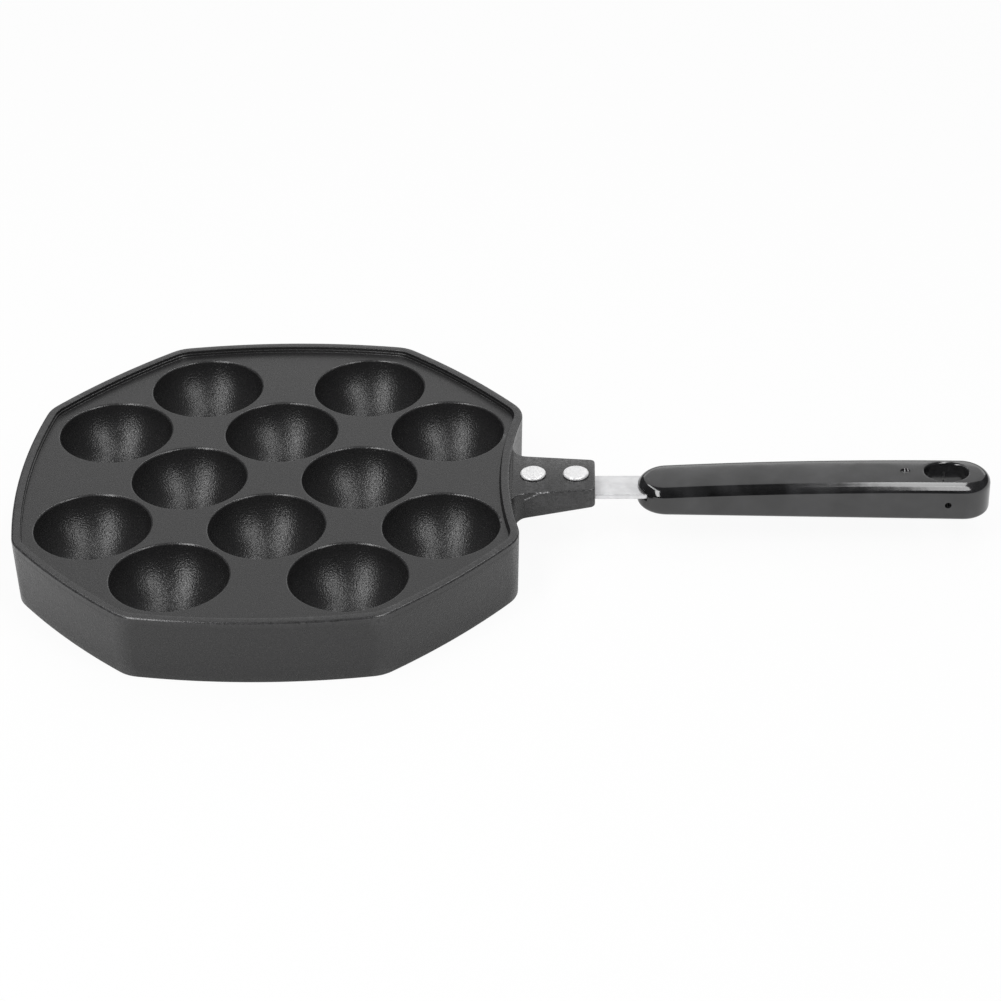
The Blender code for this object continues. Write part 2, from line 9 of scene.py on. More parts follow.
import bmesh
import bpy
import numpy as np
from mathutils import Matrix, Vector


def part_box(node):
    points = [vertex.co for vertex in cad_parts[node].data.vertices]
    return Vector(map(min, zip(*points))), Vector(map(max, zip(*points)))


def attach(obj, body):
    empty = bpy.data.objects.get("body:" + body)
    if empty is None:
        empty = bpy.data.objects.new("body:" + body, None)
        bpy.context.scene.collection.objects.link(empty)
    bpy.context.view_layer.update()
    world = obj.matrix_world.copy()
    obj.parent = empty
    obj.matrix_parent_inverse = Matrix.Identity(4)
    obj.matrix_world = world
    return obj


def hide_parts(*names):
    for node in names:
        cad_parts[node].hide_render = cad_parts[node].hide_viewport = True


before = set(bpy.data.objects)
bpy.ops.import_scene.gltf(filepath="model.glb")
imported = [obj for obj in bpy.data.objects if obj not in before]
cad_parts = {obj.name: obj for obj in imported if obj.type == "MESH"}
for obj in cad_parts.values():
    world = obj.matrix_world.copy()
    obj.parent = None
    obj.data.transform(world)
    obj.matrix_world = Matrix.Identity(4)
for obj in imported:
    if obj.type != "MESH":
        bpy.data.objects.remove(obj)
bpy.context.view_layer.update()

MM = 0.001

# Gap between pieces that touch or fit on the real pan
CLEARANCE = 0.3 * MM

# Cups, in staggered rows from the near side
ROW_COUNTS = (2, 3, 2, 3, 2)
COLUMN_SPACING = 64.0 * MM
ROW_SPACING = 32.906 * MM
DECK_Z = 24.0 * MM
CUP_CENTRE_Z = 25.024 * MM
CUP_SPHERE = 21.524 * MM
SHELL_SPHERE = CUP_SPHERE + 2.4 * MM
CUP_LIP = 0.75 * MM

# The middle of the lip's arc, out from the middle of its cup
LIP_CENTRE = math.sqrt((CUP_SPHERE + CUP_LIP) ** 2 - (CUP_CENTRE_Z - DECK_Z + CUP_LIP) ** 2)

# Plate: the reach of its end, its sides, its four diagonal sides and its hollow side at the handle, then
# the radius of the arc along each of them and of the arc at a corner
END_X = 95.75 * MM
SIDE_Y = 97.812 * MM
DIAGONAL_REACH = 100.27 * MM
DIAGONAL_ANGLE = math.radians(43.5)
WAIST_X = 88.517 * MM
BOW = 262.0 * MM
DIAGONAL_BOW = 270.0 * MM
WAIST_BOW = 183.0 * MM
CORNER = 14.0 * MM
RIM_Z = 26.2 * MM
RIM_WIDTH = 5.5 * MM
SKIRT_DRAFT = 0.8 * MM
SKIRT_INSIDE = 4.0 * MM
CEILING_Z = 21.0 * MM
SHELL_BLEND = 3.0 * MM

# Rim, skirt and foot from the deck round to the ceiling: inset, height and radius of each corner
PLATE_PROFILE = (
    (RIM_WIDTH, DECK_Z, 0),
    (3.72 * MM, DECK_Z, 0.3 * MM),
    (3.6 * MM, 24.95 * MM, 0.1 * MM),
    (3.35 * MM, 25.1 * MM, 0.08 * MM),
    (3.25 * MM, RIM_Z, 0.2 * MM),
    (0, RIM_Z, 0.75 * MM),
    (SKIRT_DRAFT, 0, 0.5 * MM),
    (SKIRT_INSIDE, 0, 0.4 * MM),
    (SKIRT_INSIDE, CEILING_Z, 1.499 * MM),
    (RIM_WIDTH, CEILING_Z, 0),
)

# Lug, which starts a little inside the skirt
LUG_SUNK = 1.6 * MM
LUG_TOP_Z = 24.8 * MM
LUG_END_X = 120.467 * MM
LUG_ROOT_WIDTH = 27.8 * MM
LUG_END_WIDTH = 21.1 * MM
LUG_ROOT_HEIGHT = 11.7 * MM
LUG_END_HEIGHT = 7.8 * MM
LUG_FILLET = 5.8 * MM
LUG_TOP_FILLET = 0.5 * MM
LUG_CORNER = 1.8 * MM
LUG_EDGE = 0.6 * MM

# Tang, and half the width and height of the room that it has in the lug and the grip
TANG_X = 90.617 * MM
TANG_Z = 19.0 * MM
TANG_LENGTH = 117.65 * MM
TANG_WIDTH = 13.4 * MM
TANG_THICKNESS = 2.0 * MM
TANG_CORNER = 2.0 * MM
TANG_EDGE = 0.35 * MM
SLOT_SIDE = TANG_WIDTH / 2 + CLEARANCE
SLOT_HALF = TANG_THICKNESS / 2 + CLEARANCE

# Radius of the smallest edges on the rivets and the screw
BROKEN_EDGE = 0.1 * MM

# Rivets: radii of head, shank and tail, heights of head and tail, and the shape of the head
RIVET_X = (97.317 * MM, 113.317 * MM)
RIVET_HEAD = 4.87 * MM
RIVET_SHANK = 2.5 * MM
RIVET_TAIL = 4.0 * MM
RIVET_RISE = 1.1 * MM
RIVET_TAIL_HEIGHT = 1.1 * MM
RIVET_CROWN = 0.3 * MM
RIVET_BRIM = 0.7 * MM
RIVET_BRIM_DROP = 1.2 * RIVET_CROWN
RIVET_DRAFT = 0.05 * MM
RIVET_SEAT_EDGE = 0.08 * MM
RIVET_TAIL_EDGE = 0.4 * MM

# Grip, with lengths from its front and heights from the middle of the tang
GRIP_X = 136.267 * MM
GRIP_LENGTH = 131.9 * MM
GRIP_HALF_WIDTH = 10.8 * MM
GRIP_TOP_FRONT = 4.1 * MM
GRIP_TOP_CROWN = 6.55 * MM
GRIP_CROWN_X = 89.8 * MM
GRIP_BOTTOM_FRONT = 5.9 * MM
GRIP_BOTTOM_REAR = 8.9 * MM
GRIP_TOP_EDGE = 3.9 * MM
GRIP_BOTTOM_EDGE = 2.0 * MM
GRIP_SLOPE = math.radians(4.2)

# Half the width of the grip's top face, inside its rounded edge, and its rise to the middle, which starts
# at the slope above
GRIP_FACE = GRIP_HALF_WIDTH - GRIP_TOP_EDGE * (1 - math.sin(GRIP_SLOPE))
GRIP_FACE_RISE = GRIP_FACE * math.tan(GRIP_SLOPE) / 2

# Mouth round the tang at the grip's front
MOUTH_DEPTH = 3.6 * MM
MOUTH_SIDE = SLOT_SIDE + 1.0 * MM
MOUTH_RISE = 0.5 * MM

# Hanging hole, with lips that turn out through an angle and then run on straight, out and down
HANG_X = 115.3 * MM
HANG_HALF_LENGTH = 8.1 * MM
HANG_HALF_WIDTH = 6.35 * MM
HANG_LIP = 0.9 * MM
HANG_FLARE = math.radians(82)
HANG_PAST = (4 * HANG_LIP, -0.6 * HANG_LIP)

# Cross hole for a wire: a narrow middle between two wide ends
WIRE_Z = TANG_Z - 1.7 * MM
WIRE_NECK = 0.4 * MM
WIRE_NECK_REACH = 8.4 * MM
WIRE_END = 1.25 * MM
WIRE_REACH = 15.0 * MM

# Dimple in the grip's back: a ball with its middle above the surface
DIMPLE_X = HANG_X - 15.3 * MM
DIMPLE_BALL = 2.9 * MM
DIMPLE_LIFT = 2.2 * MM

# Screw from below: radii of shank and head, the seat of its head, its hole, and the cross in its head
SCREW_X = 54.0 * MM
SCREW_SHANK = 1.8 * MM
SCREW_HEAD = 3.5 * MM
SCREW_HEAD_HEIGHT = 2.2 * MM
SCREW_TIP_EDGE = 0.4 * MM
SCREW_HEAD_EDGE = 0.7 * MM
SCREW_SEAT_Z = TANG_Z - SLOT_HALF - 2.4 * MM
SCREW_TOP_Z = TANG_Z + SLOT_HALF + 3.0 * MM
SCREW_HOLE_TOP_Z = SCREW_SEAT_Z + 9.0 * MM
CROSS_LONG = 1.9 * MM
CROSS_SHORT = 0.45 * MM
CROSS_DEPTH = 1.1 * MM

# How far cutting forms reach past a piece, and between which heights pin holes are drilled
PAST = 5.0 * MM
DRILL_LOW = 10.0 * MM
DRILL_HIGH = 30.0 * MM

# Middle of the cup pattern in the shared frame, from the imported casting
PAN_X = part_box("pan_casting")[0].x + END_X

# How close two points are before they are one, and how finely the surfaces are divided
SAME_POINT = 0.004 * MM
OUTLINE_STEP = 1.55 * MM
CELL_STEP = 1.9 * MM
BOWL_POINTS = 17
LIP_POINTS = 7
SHELL_POINTS = 22
WALL_STEPS = 6
LUG_POINTS = 14
LUG_CORNER_POINTS = 9
LUG_EDGE_POINTS = 6
TANG_CORNER_POINTS = 7
RIVET_CAP_POINTS = 10
GRIP_POINTS = 72
GRIP_END_POINTS = 25
GRIP_FACE_POINTS = 17
GRIP_TOP_EDGE_POINTS = 13
GRIP_BOTTOM_EDGE_POINTS = 8
HANG_POINTS = 97
HANG_LIP_POINTS = 10
DIMPLE_POINTS = 33


def unit(vector):
    """The vector at length 1."""
    return vector / np.linalg.norm(vector)


def quarter(points):
    """Angles of a quarter turn."""
    return np.linspace(0, math.pi / 2, points)


def smooth_drop(share):
    """Falls from 1 to 0 as the share goes from 0 to 1, level at both ends."""
    share = np.clip(share, 0, 1)
    return 1 - share * share * (3 - 2 * share)


def rounded(profile, steps=6):
    """A path through corners, each given by two coordinates and a radius.

    Every corner but the first and the last gives way to an arc that touches both of its lines.
    """
    profile = np.array(profile, float)
    corners, radii = profile[:, :2], profile[1:-1, 2]
    path = [corners[:1]]
    for before, corner, after, radius in zip(corners, corners[1:], corners[2:], radii):
        back, ahead = unit(before - corner), unit(after - corner)
        half = math.acos(np.clip(back @ ahead, -1, 1)) / 2
        centre = corner + unit(back + ahead) * radius / math.sin(half)
        start = corner + back * radius / math.tan(half) - centre
        end = corner + ahead * radius / math.tan(half) - centre
        sweep = math.atan2(start[0] * end[1] - start[1] * end[0], start @ end)
        turn = np.linspace(0, sweep, steps + 1)[:, None]
        path.append(centre + np.cos(turn) * start + np.sin(turn) * np.array([-start[1], start[0]]))
    path.append(corners[-1:])
    return np.concatenate(path)


def four_corners(points):
    """Angles round a rectangle's four rounded corners, and on which side of both middle lines each lies."""
    angle = np.concatenate([quarter(points) + side * math.pi / 2 for side in range(4)])
    return angle, np.repeat([1, -1, -1, 1], points), np.repeat([1, 1, -1, -1], points)


def grid_faces(rows, columns, start):
    """Four-sided faces between the points of a grid that are numbered from a start."""
    index = start + np.arange(rows * columns).reshape(rows, columns)
    return np.stack([index[:-1, :-1], index[:-1, 1:], index[1:, 1:], index[1:, :-1]], -1).reshape(-1, 4)


def closed_mesh(name, patches):
    """One closed mesh from grids of points. Points that coincide where grids meet become one."""
    points = np.concatenate([patch.reshape(-1, 3) for patch in patches])
    starts = np.cumsum([0] + [patch.shape[0] * patch.shape[1] for patch in patches])
    quads = np.concatenate(
        [grid_faces(*patch.shape[:2], start) for patch, start in zip(patches, starts)]
    )
    mesh = bpy.data.meshes.new(name)
    mesh.vertices.add(len(points))
    mesh.vertices.foreach_set("co", points.astype(np.float32).ravel())
    mesh.loops.add(quads.size)
    mesh.loops.foreach_set("vertex_index", quads.astype(np.int32).ravel())
    mesh.polygons.add(len(quads))
    mesh.polygons.foreach_set("loop_start", np.arange(0, quads.size, 4, dtype=np.int32))
    mesh.update(calc_edges=True)
    shape = bmesh.new()
    shape.from_mesh(mesh)
    bmesh.ops.remove_doubles(shape, verts=shape.verts, dist=SAME_POINT)
    bmesh.ops.recalc_face_normals(shape, faces=shape.faces)
    shape.to_mesh(mesh)
    shape.free()
    return mesh


def turned(profile, centre, steps=72):
    """A grid made by turning (radius, z) points about an upright line through a centre."""
    angle = np.linspace(0, math.tau, steps + 1)
    radius, z = profile[:, 0, None], profile[:, 1, None]
    return np.stack(
        [centre[0] + radius * np.cos(angle), centre[1] + radius * np.sin(angle), z + 0 * angle], -1
    )


def box_patch(low, high):
    """A box as a grid: a square ring carried from its bottom to its top and drawn in at both ends."""
    (x0, y0, z0), (x1, y1, z1) = low, high
    ring = np.array([(x0, y0), (x1, y0), (x1, y1), (x0, y1), (x0, y0)])
    centre = np.array([(x0 + x1) / 2, (y0 + y1) / 2]) + 0 * ring
    plan = np.stack([centre, ring, ring, centre])
    heights = np.array([z0, z0, z1, z1])[:, None, None] + 0 * plan[..., :1]
    return np.concatenate([plan, heights], -1)


def link(name, data):
    """A new object in the scene."""
    made = bpy.data.objects.new(name, data)
    bpy.context.scene.collection.objects.link(made)
    return made


def cut(target, operation, patch):
    """Joins a closed form to the target, or takes it away, and keeps only the result's mesh."""
    tool = link("tool", closed_mesh("tool", [patch]))
    change = target.modifiers.new("change", "BOOLEAN")
    change.operation = operation
    change.solver = "MANIFOLD"
    change.object = tool
    bpy.context.view_layer.update()
    shaped = target.evaluated_get(bpy.context.evaluated_depsgraph_get())
    mesh = bpy.data.meshes.new_from_object(shaped)
    target.modifiers.clear()
    target.data = mesh
    bpy.data.objects.remove(tool)


def drill(target, x, pin):
    """Drills an upright hole for a pin of some radius, with clearance round it."""
    radius = pin + CLEARANCE
    hole = np.array([(0, DRILL_LOW), (radius, DRILL_LOW), (radius, DRILL_HIGH), (0, DRILL_HIGH)])
    cut(target, "DIFFERENCE", turned(hole, (PAN_X + x, 0)))


def finish(target, node, material, sharp_above=35.0):
    """Shades a piece, gives it its material, puts it under the root body and hides the CAD part that it
    stands in for.
    """
    target.data.shade_smooth()
    target.data.set_sharp_from_angle(angle=math.radians(sharp_above))
    target.data.materials.clear()
    target.data.materials.append(material)
    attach(target, "root")
    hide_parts(node)


# Cast plate


def cup_places():
    """Middles of the cups in plan, row by row."""
    last = len(ROW_COUNTS) - 1
    return np.array(
        [
            (COLUMN_SPACING * (column - (count - 1) / 2), ROW_SPACING * (row - last / 2))
            for row, count in enumerate(ROW_COUNTS)
            for column in range(count)
        ]
    )


def crossing(first, first_radius, second, second_radius, outward):
    """The point where two circles cross, on the side that a vector points to."""
    line = second - first
    distance = np.linalg.norm(line)
    along = (distance**2 + first_radius**2 - second_radius**2) / (2 * distance)
    across = math.sqrt(first_radius**2 - along**2)
    direction = line / distance
    normal = np.array([-direction[1], direction[0]])
    meetings = [first + along * direction + side * across * normal for side in (1, -1)]
    return max(meetings, key=lambda point: point @ outward)


def arc(middle, bow, start, end):
    """Points and normals along a circle, from one normal to another, without the last point."""
    first, last = (math.atan2(normal[1], normal[0]) for normal in (start, end))
    sweep = (last - first + math.pi) % math.tau - math.pi
    steps = math.ceil(abs(bow * sweep) / OUTLINE_STEP)
    angle = first + sweep * np.arange(steps) / steps
    normals = np.stack([np.cos(angle), np.sin(angle)], -1)
    return middle + bow * normals, normals


def plate_outline():
    """Points and outward normals of the rim's outer edge, anticlockwise.

    Each of the eight sides is an arc of a large circle centred on the side's own normal. A small corner
    arc touches both of its neighbours. The side at the handle bows inwards.
    """
    slant = np.array([math.cos(DIAGONAL_ANGLE), math.sin(DIAGONAL_ANGLE)])
    sides = [
        (np.array([1, 0]), WAIST_X, -WAIST_BOW),
        (slant, DIAGONAL_REACH, DIAGONAL_BOW),
        (np.array([0, 1]), SIDE_Y, BOW),
        (slant * (-1, 1), DIAGONAL_REACH, DIAGONAL_BOW),
        (np.array([-1, 0]), END_X, BOW),
        (slant * (-1, -1), DIAGONAL_REACH, DIAGONAL_BOW),
        (np.array([0, -1]), SIDE_Y, BOW),
        (slant * (1, -1), DIAGONAL_REACH, DIAGONAL_BOW),
    ]
    middles = [normal * (reach - bow) for normal, reach, bow in sides]
    bows = [bow for _, _, bow in sides]
    inner = [abs(bow - CORNER) for bow in bows]
    corners = [
        crossing(middles[i - 1], inner[i - 1], middles[i], inner[i], sides[i - 1][0] + sides[i][0])
        for i in range(len(sides))
    ]
    arcs = []
    for i, (middle, bow) in enumerate(zip(middles, bows)):
        following = (i + 1) % len(sides)
        before, after = corners[i], corners[following]
        end = (after - middle) * bow
        arcs.append(arc(middle, bow, (before - middle) * bow, end))
        arcs.append(arc(after, CORNER, end, (after - middles[following]) * bows[following]))
    points, normals = zip(*arcs)
    return np.concatenate(points), np.concatenate(normals)


def distances(points, others):
    """Distance from each point to each of some others."""
    return np.linalg.norm(points[..., None, :] - others, axis=-1)


def meeting_points(cups, ring, normals):
    """Points inside a ring that are equally far from three cups, with no cup nearer.

    Each is the middle of the circle through three cups' middles.
    """
    a, b, c = cups[np.array(list(itertools.combinations(range(len(cups)), 3)))].transpose(1, 0, 2)
    ab, ac = b - a, c - a
    double = 2 * (ab[:, 0] * ac[:, 1] - ab[:, 1] * ac[:, 0])
    apart = np.abs(double) > MM * MM
    a, ab, ac, double = a[apart], ab[apart], ac[apart], double[apart, None]
    ab_square, ac_square = (ab**2).sum(-1, keepdims=True), (ac**2).sum(-1, keepdims=True)
    across = ab_square * ac - ac_square * ab
    centres = a + np.stack([across[:, 1], -across[:, 0]], -1) / double
    reach = np.linalg.norm(centres - a, axis=-1)
    free = distances(centres, cups).min(-1) > reach - SAME_POINT
    nearest = distances(centres, ring).argmin(-1)
    inside = ((centres - ring[nearest]) * normals[nearest]).sum(-1) < 0
    return centres[free & inside]


def cell_edges(cups, ring, normals):
    """For each cup, points round the part of the deck that is nearest to it, anticlockwise and closed."""
    meetings = meeting_points(cups, ring, normals)
    owner = distances(ring, cups).argmin(-1)
    reach = distances(meetings, cups)
    for number, cup in enumerate(cups):
        own_meetings = meetings[reach[:, number] < reach.min(-1) + SAME_POINT]
        own_ring = np.flatnonzero((owner == number) | (np.roll(owner, 1) == number))
        points = np.concatenate([own_meetings, ring[own_ring]])
        marks = np.concatenate([np.full(len(own_meetings), -1), own_ring])
        order = np.argsort(np.arctan2(*(points - cup).T[::-1]))
        points, marks = points[order], marks[order]
        loop = []
        pairs = zip(points, np.roll(points, -1, 0), marks, np.roll(marks, -1))
        for start, end, mark, next_mark in pairs:
            on_ring = mark >= 0 and next_mark == (mark + 1) % len(ring)
            steps = 1 if on_ring else math.ceil(np.linalg.norm(end - start) / CELL_STEP)
            loop.append(start + (end - start) * np.arange(steps)[:, None] / steps)
        loop = np.concatenate(loop)
        yield cup, np.concatenate([loop, loop[:1]])


def shell_height(reach):
    """Height of a cup's shell underneath: the lower half of a sphere, and level with its middle outside."""
    return CUP_CENTRE_Z - np.sqrt(np.maximum(SHELL_SPHERE**2 - reach**2, 0))


def underside_height(points, ceiling, cups):
    """Height of the underside: the lower of the ceiling and the cup shells, with a fillet between.

    The fillet of two heights lowers them by a parabola of their difference.
    """
    shells = shell_height(distances(points, cups))
    height = ceiling
    for shell in np.moveaxis(np.sort(shells, axis=-1)[..., :2], -1, 0):
        near = np.maximum(SHELL_BLEND - np.abs(height - shell), 0)
        height = np.minimum(height, shell) - near**2 / (4 * SHELL_BLEND)
    return height


def deck_height(reach):
    """Height of the deck at a distance from a cup's middle: level, then down the arc of the lip."""
    past = np.clip(LIP_CENTRE - reach, 0, CUP_LIP)
    return DECK_Z - CUP_LIP + np.sqrt(CUP_LIP**2 - past**2)


def rays_to(edge, cup):
    """Distances and directions from a cup's middle to the points round its part of the deck."""
    reach = np.linalg.norm(edge - cup, axis=-1)
    return reach, (edge - cup) / reach[:, None]


def cup_patch(cup, edge):
    """The deck round a cup and the cup itself.

    Columns run from the middle of the cup to the edge of its part of the deck. Along a column come an
    arc of the cup's sphere, the arc of the lip and the flat deck, which has one ring close to the lip.
    """
    sweep = math.atan2(LIP_CENTRE, CUP_CENTRE_Z - DECK_Z + CUP_LIP)
    bowl = np.linspace(0, sweep, BOWL_POINTS)
    turn = np.linspace(sweep + math.pi / 2, math.pi / 2, LIP_POINTS)[1:]
    edge_reach, outward = rays_to(edge, cup)
    bottom = np.repeat(CUP_SPHERE * np.sin(bowl)[:, None], len(edge), 1)
    lip = np.minimum((LIP_CENTRE + CUP_LIP * np.cos(turn))[:, None], edge_reach)
    close = lip[-1] + np.minimum(0.3 * MM, 0.4 * (edge_reach - lip[-1]))
    radii = np.concatenate([bottom, lip, [close, edge_reach]])
    heights = deck_height(radii)
    heights[:BOWL_POINTS] = (CUP_CENTRE_Z - CUP_SPHERE * np.cos(bowl))[:, None]
    plan = cup + radii[..., None] * outward
    return np.concatenate([plan, heights[..., None]], -1)


def shell_patch(cup, edge, cups):
    """The underside of a cup's part of the plate: columns as above, with even steps along the surface."""
    farthest, samples = 60 * MM, 3000
    fine = np.linspace(0, farthest, samples)
    profile = np.minimum(shell_height(fine), CEILING_Z)
    travel = np.concatenate([[0], np.cumsum(np.hypot(np.diff(fine), np.diff(profile)))])
    edge_reach, outward = rays_to(edge, cup)
    whole = np.interp(edge_reach, fine, travel)
    radii = np.interp(np.linspace(0, 1, SHELL_POINTS)[:, None] * whole, travel, fine)
    radii[-1] = edge_reach
    plan = cup + radii[..., None] * outward
    heights = underside_height(plan, np.full(radii.shape, CEILING_Z), cups)
    return np.concatenate([plan, heights[..., None]], -1)


def rim_patch(points, normals, cups):
    """The rim, the skirt and the foot: one profile of (inset, z) carried round the outline.

    The tall walls get a few more rings. Near the ceiling, the profile follows the cup shells.
    """
    tall, ceiling_from = 10 * MM, 15 * MM
    inset, z = rounded(PLATE_PROFILE).T
    share = np.arange(1, WALL_STEPS) / WALL_STEPS
    for k in np.flatnonzero(np.abs(np.diff(z)) > tall)[::-1]:
        inset = np.insert(inset, k + 1, inset[k] + share * (inset[k + 1] - inset[k]))
        z = np.insert(z, k + 1, z[k] + share * (z[k + 1] - z[k]))
    points = np.concatenate([points, points[:1]])
    normals = np.concatenate([normals, normals[:1]])
    plan = points - inset[:, None, None] * normals
    heights = np.repeat(z[:, None], len(points), 1)
    second_half = np.arange(len(z)) > len(z) // 2
    ceiling = second_half & (inset > SKIRT_INSIDE - SAME_POINT) & (z > ceiling_from)
    heights[ceiling] = underside_height(plan[ceiling], heights[ceiling], cups)
    heights[0] = deck_height(distances(plan[0], cups).min(-1))
    return np.concatenate([plan, heights[..., None]], -1)


def lug_patch():
    """The lug: a rounded box section carried along X from inside the skirt to the end.

    Its width, height and top swell as quarter circles where it leaves the skirt, and its first part
    is bent to follow the hollow of the skirt's wall.
    """
    out = LUG_END_X - WAIST_X
    root = np.concatenate([[-LUG_SUNK], LUG_FILLET * (1 - np.cos(quarter(LUG_POINTS)))])
    tip = out - LUG_CORNER * (1 - np.sin(quarter(LUG_CORNER_POINTS)))
    edge_tip = out - LUG_EDGE * (1 - np.sin(quarter(LUG_EDGE_POINTS)))
    middle = np.linspace(LUG_FILLET, out - LUG_CORNER, LUG_POINTS)[1:-1]
    x = np.unique(np.concatenate([root, middle, tip, edge_tip]).round(7))
    share = np.clip(x / out, 0, 1)

    def swell(radius):
        left = np.clip(radius - x, 0, radius)
        return radius - np.sqrt(radius**2 - left**2)

    def shrink(radius):
        past = np.clip(x - out + radius, 0, radius)
        return radius - np.sqrt(radius**2 - past**2)

    width = LUG_ROOT_WIDTH + (LUG_END_WIDTH - LUG_ROOT_WIDTH) * share
    side = width / 2 + swell(LUG_FILLET) - shrink(LUG_CORNER)
    height = LUG_ROOT_HEIGHT + (LUG_END_HEIGHT - LUG_ROOT_HEIGHT) * share + swell(LUG_FILLET)
    top = LUG_TOP_Z + swell(LUG_TOP_FILLET) - shrink(LUG_EDGE)
    bottom = LUG_TOP_Z - height + shrink(LUG_EDGE)
    angle, y_side, z_side = four_corners(LUG_EDGE_POINTS)
    y = y_side * (side[:, None] - LUG_EDGE) + LUG_EDGE * np.cos(angle)
    middle_z, half = (top + bottom)[:, None] / 2, (top - bottom)[:, None] / 2
    z = middle_z + z_side * (half - LUG_EDGE) + LUG_EDGE * np.sin(angle)
    y, z = (np.concatenate([values, values[:, :1]], 1) for values in (y, z))
    z = np.concatenate([middle_z[:1] + 0 * z[:1], z, middle_z[-1:] + 0 * z[:1]])
    y = np.concatenate([0 * y[:1], y, 0 * y[:1]])
    x = np.concatenate([x[:1], x, x[-1:]])[:, None] + 0 * y
    wall = WAIST_BOW - np.sqrt(WAIST_BOW**2 - y**2) - SKIRT_DRAFT * (RIM_Z - z) / RIM_Z
    x = WAIST_X + x + wall * smooth_drop(x / (2 * LUG_FILLET))
    return np.stack([PAN_X + x, y, z], -1)


def make_casting(material):
    """Plate and lug in one, with a channel for the tang and holes for the rivets."""
    points, normals = plate_outline()
    cups = cup_places()
    ring = points - RIM_WIDTH * normals
    patches = [rim_patch(points, normals, cups)]
    for cup, edge in cell_edges(cups, ring, normals):
        patches += [cup_patch(cup, edge), shell_patch(cup, edge, cups)]
    for patch in patches:
        patch[..., 0] += PAN_X
    casting = link("casting", closed_mesh("casting", patches))
    cut(casting, "UNION", lug_patch())
    low = (PAN_X + TANG_X - CLEARANCE, -SLOT_SIDE, -MM)
    high = (PAN_X + LUG_END_X + PAST, SLOT_SIDE, TANG_Z + SLOT_HALF)
    cut(casting, "DIFFERENCE", box_patch(low, high))
    for x in RIVET_X:
        drill(casting, x, RIVET_SHANK)
    finish(casting, "pan_casting", material)


# Tang, rivets and screw


def make_tang(material):
    """The bar: a long rectangle with rounded corners in plan, drawn in over rounded edges."""
    half, middle = TANG_THICKNESS / 2, TANG_LENGTH / 2
    edges = [(0, -half, TANG_EDGE), (0, half, TANG_EDGE)]
    profile = rounded([(TANG_CORNER, -half, 0), *edges, (TANG_CORNER, half, 0)], steps=4)
    inset, z = profile[1:-1, 0, None], profile[1:-1, 1, None]
    angle, x_side, y_side = four_corners(TANG_CORNER_POINTS)
    x = middle + x_side * (middle - TANG_CORNER) + (TANG_CORNER - inset) * np.cos(angle)
    y = y_side * (TANG_WIDTH / 2 - TANG_CORNER) + (TANG_CORNER - inset) * np.sin(angle)
    x, y = (np.concatenate([values, values[:, :1]], 1) for values in (x, y))
    x = np.concatenate([0 * x[:1] + middle, x, 0 * x[:1] + middle])
    y = np.concatenate([0 * y[:1], y, 0 * y[:1]])
    z = np.concatenate([z[:1], z, z[-1:]]) + 0 * x
    bar = np.stack([PAN_X + TANG_X + x, y, TANG_Z + z], -1)
    tang = link("tang", closed_mesh("tang", [bar]))
    for rivet_x in RIVET_X:
        drill(tang, rivet_x, RIVET_SHANK)
    drill(tang, GRIP_X + SCREW_X, SCREW_SHANK)
    finish(tang, "handle_tang", material)


def make_rivet(name, x, material):
    """A button head with a low crown and a rounded brim, a shank and an upset tail."""
    seat = LUG_TOP_Z + CLEARANCE
    top = seat + RIVET_RISE
    tail = TANG_Z - SLOT_HALF
    reach = np.linspace(0, RIVET_HEAD - MM, RIVET_CAP_POINTS)
    cap = np.stack([reach, top - RIVET_CROWN * (reach / RIVET_HEAD) ** 2], -1)
    below = rounded(
        [
            (*cap[-1], 0),
            (RIVET_HEAD, top - RIVET_BRIM_DROP, RIVET_BRIM),
            (RIVET_HEAD - RIVET_DRAFT, seat, RIVET_SEAT_EDGE),
            (RIVET_SHANK, seat, BROKEN_EDGE),
            (RIVET_SHANK, tail, BROKEN_EDGE),
            (RIVET_TAIL, tail, BROKEN_EDGE),
            (RIVET_TAIL, tail - RIVET_TAIL_HEIGHT, RIVET_TAIL_EDGE),
            (0, tail - RIVET_TAIL_HEIGHT, 0),
        ]
    )
    form = turned(np.concatenate([cap, below]), (PAN_X + x, 0))
    finish(link(f"{name}_dressed", closed_mesh(name, [form])), name, material)


def make_screw(material):
    """A pan-head screw seen from below, with a cross cut into its head."""
    head = SCREW_SEAT_Z - CLEARANCE
    bottom = head - SCREW_HEAD_HEIGHT
    profile = rounded(
        [
            (0, SCREW_TOP_Z, 0),
            (SCREW_SHANK, SCREW_TOP_Z, SCREW_TIP_EDGE),
            (SCREW_SHANK, head, BROKEN_EDGE),
            (SCREW_HEAD, head, BROKEN_EDGE),
            (SCREW_HEAD, bottom, SCREW_HEAD_EDGE),
            (0, bottom, 0),
        ],
        steps=5,
    )
    x = PAN_X + GRIP_X + SCREW_X
    screw = link("screw", closed_mesh("screw", [turned(profile, (x, 0))]))
    for half_x, half_y in ((CROSS_LONG, CROSS_SHORT), (CROSS_SHORT, CROSS_LONG)):
        low, high = (x - half_x, -half_y, bottom - MM), (x + half_x, half_y, bottom + CROSS_DEPTH)
        cut(screw, "DIFFERENCE", box_patch(low, high))
    finish(screw, "grip_screw", material)


# Grip


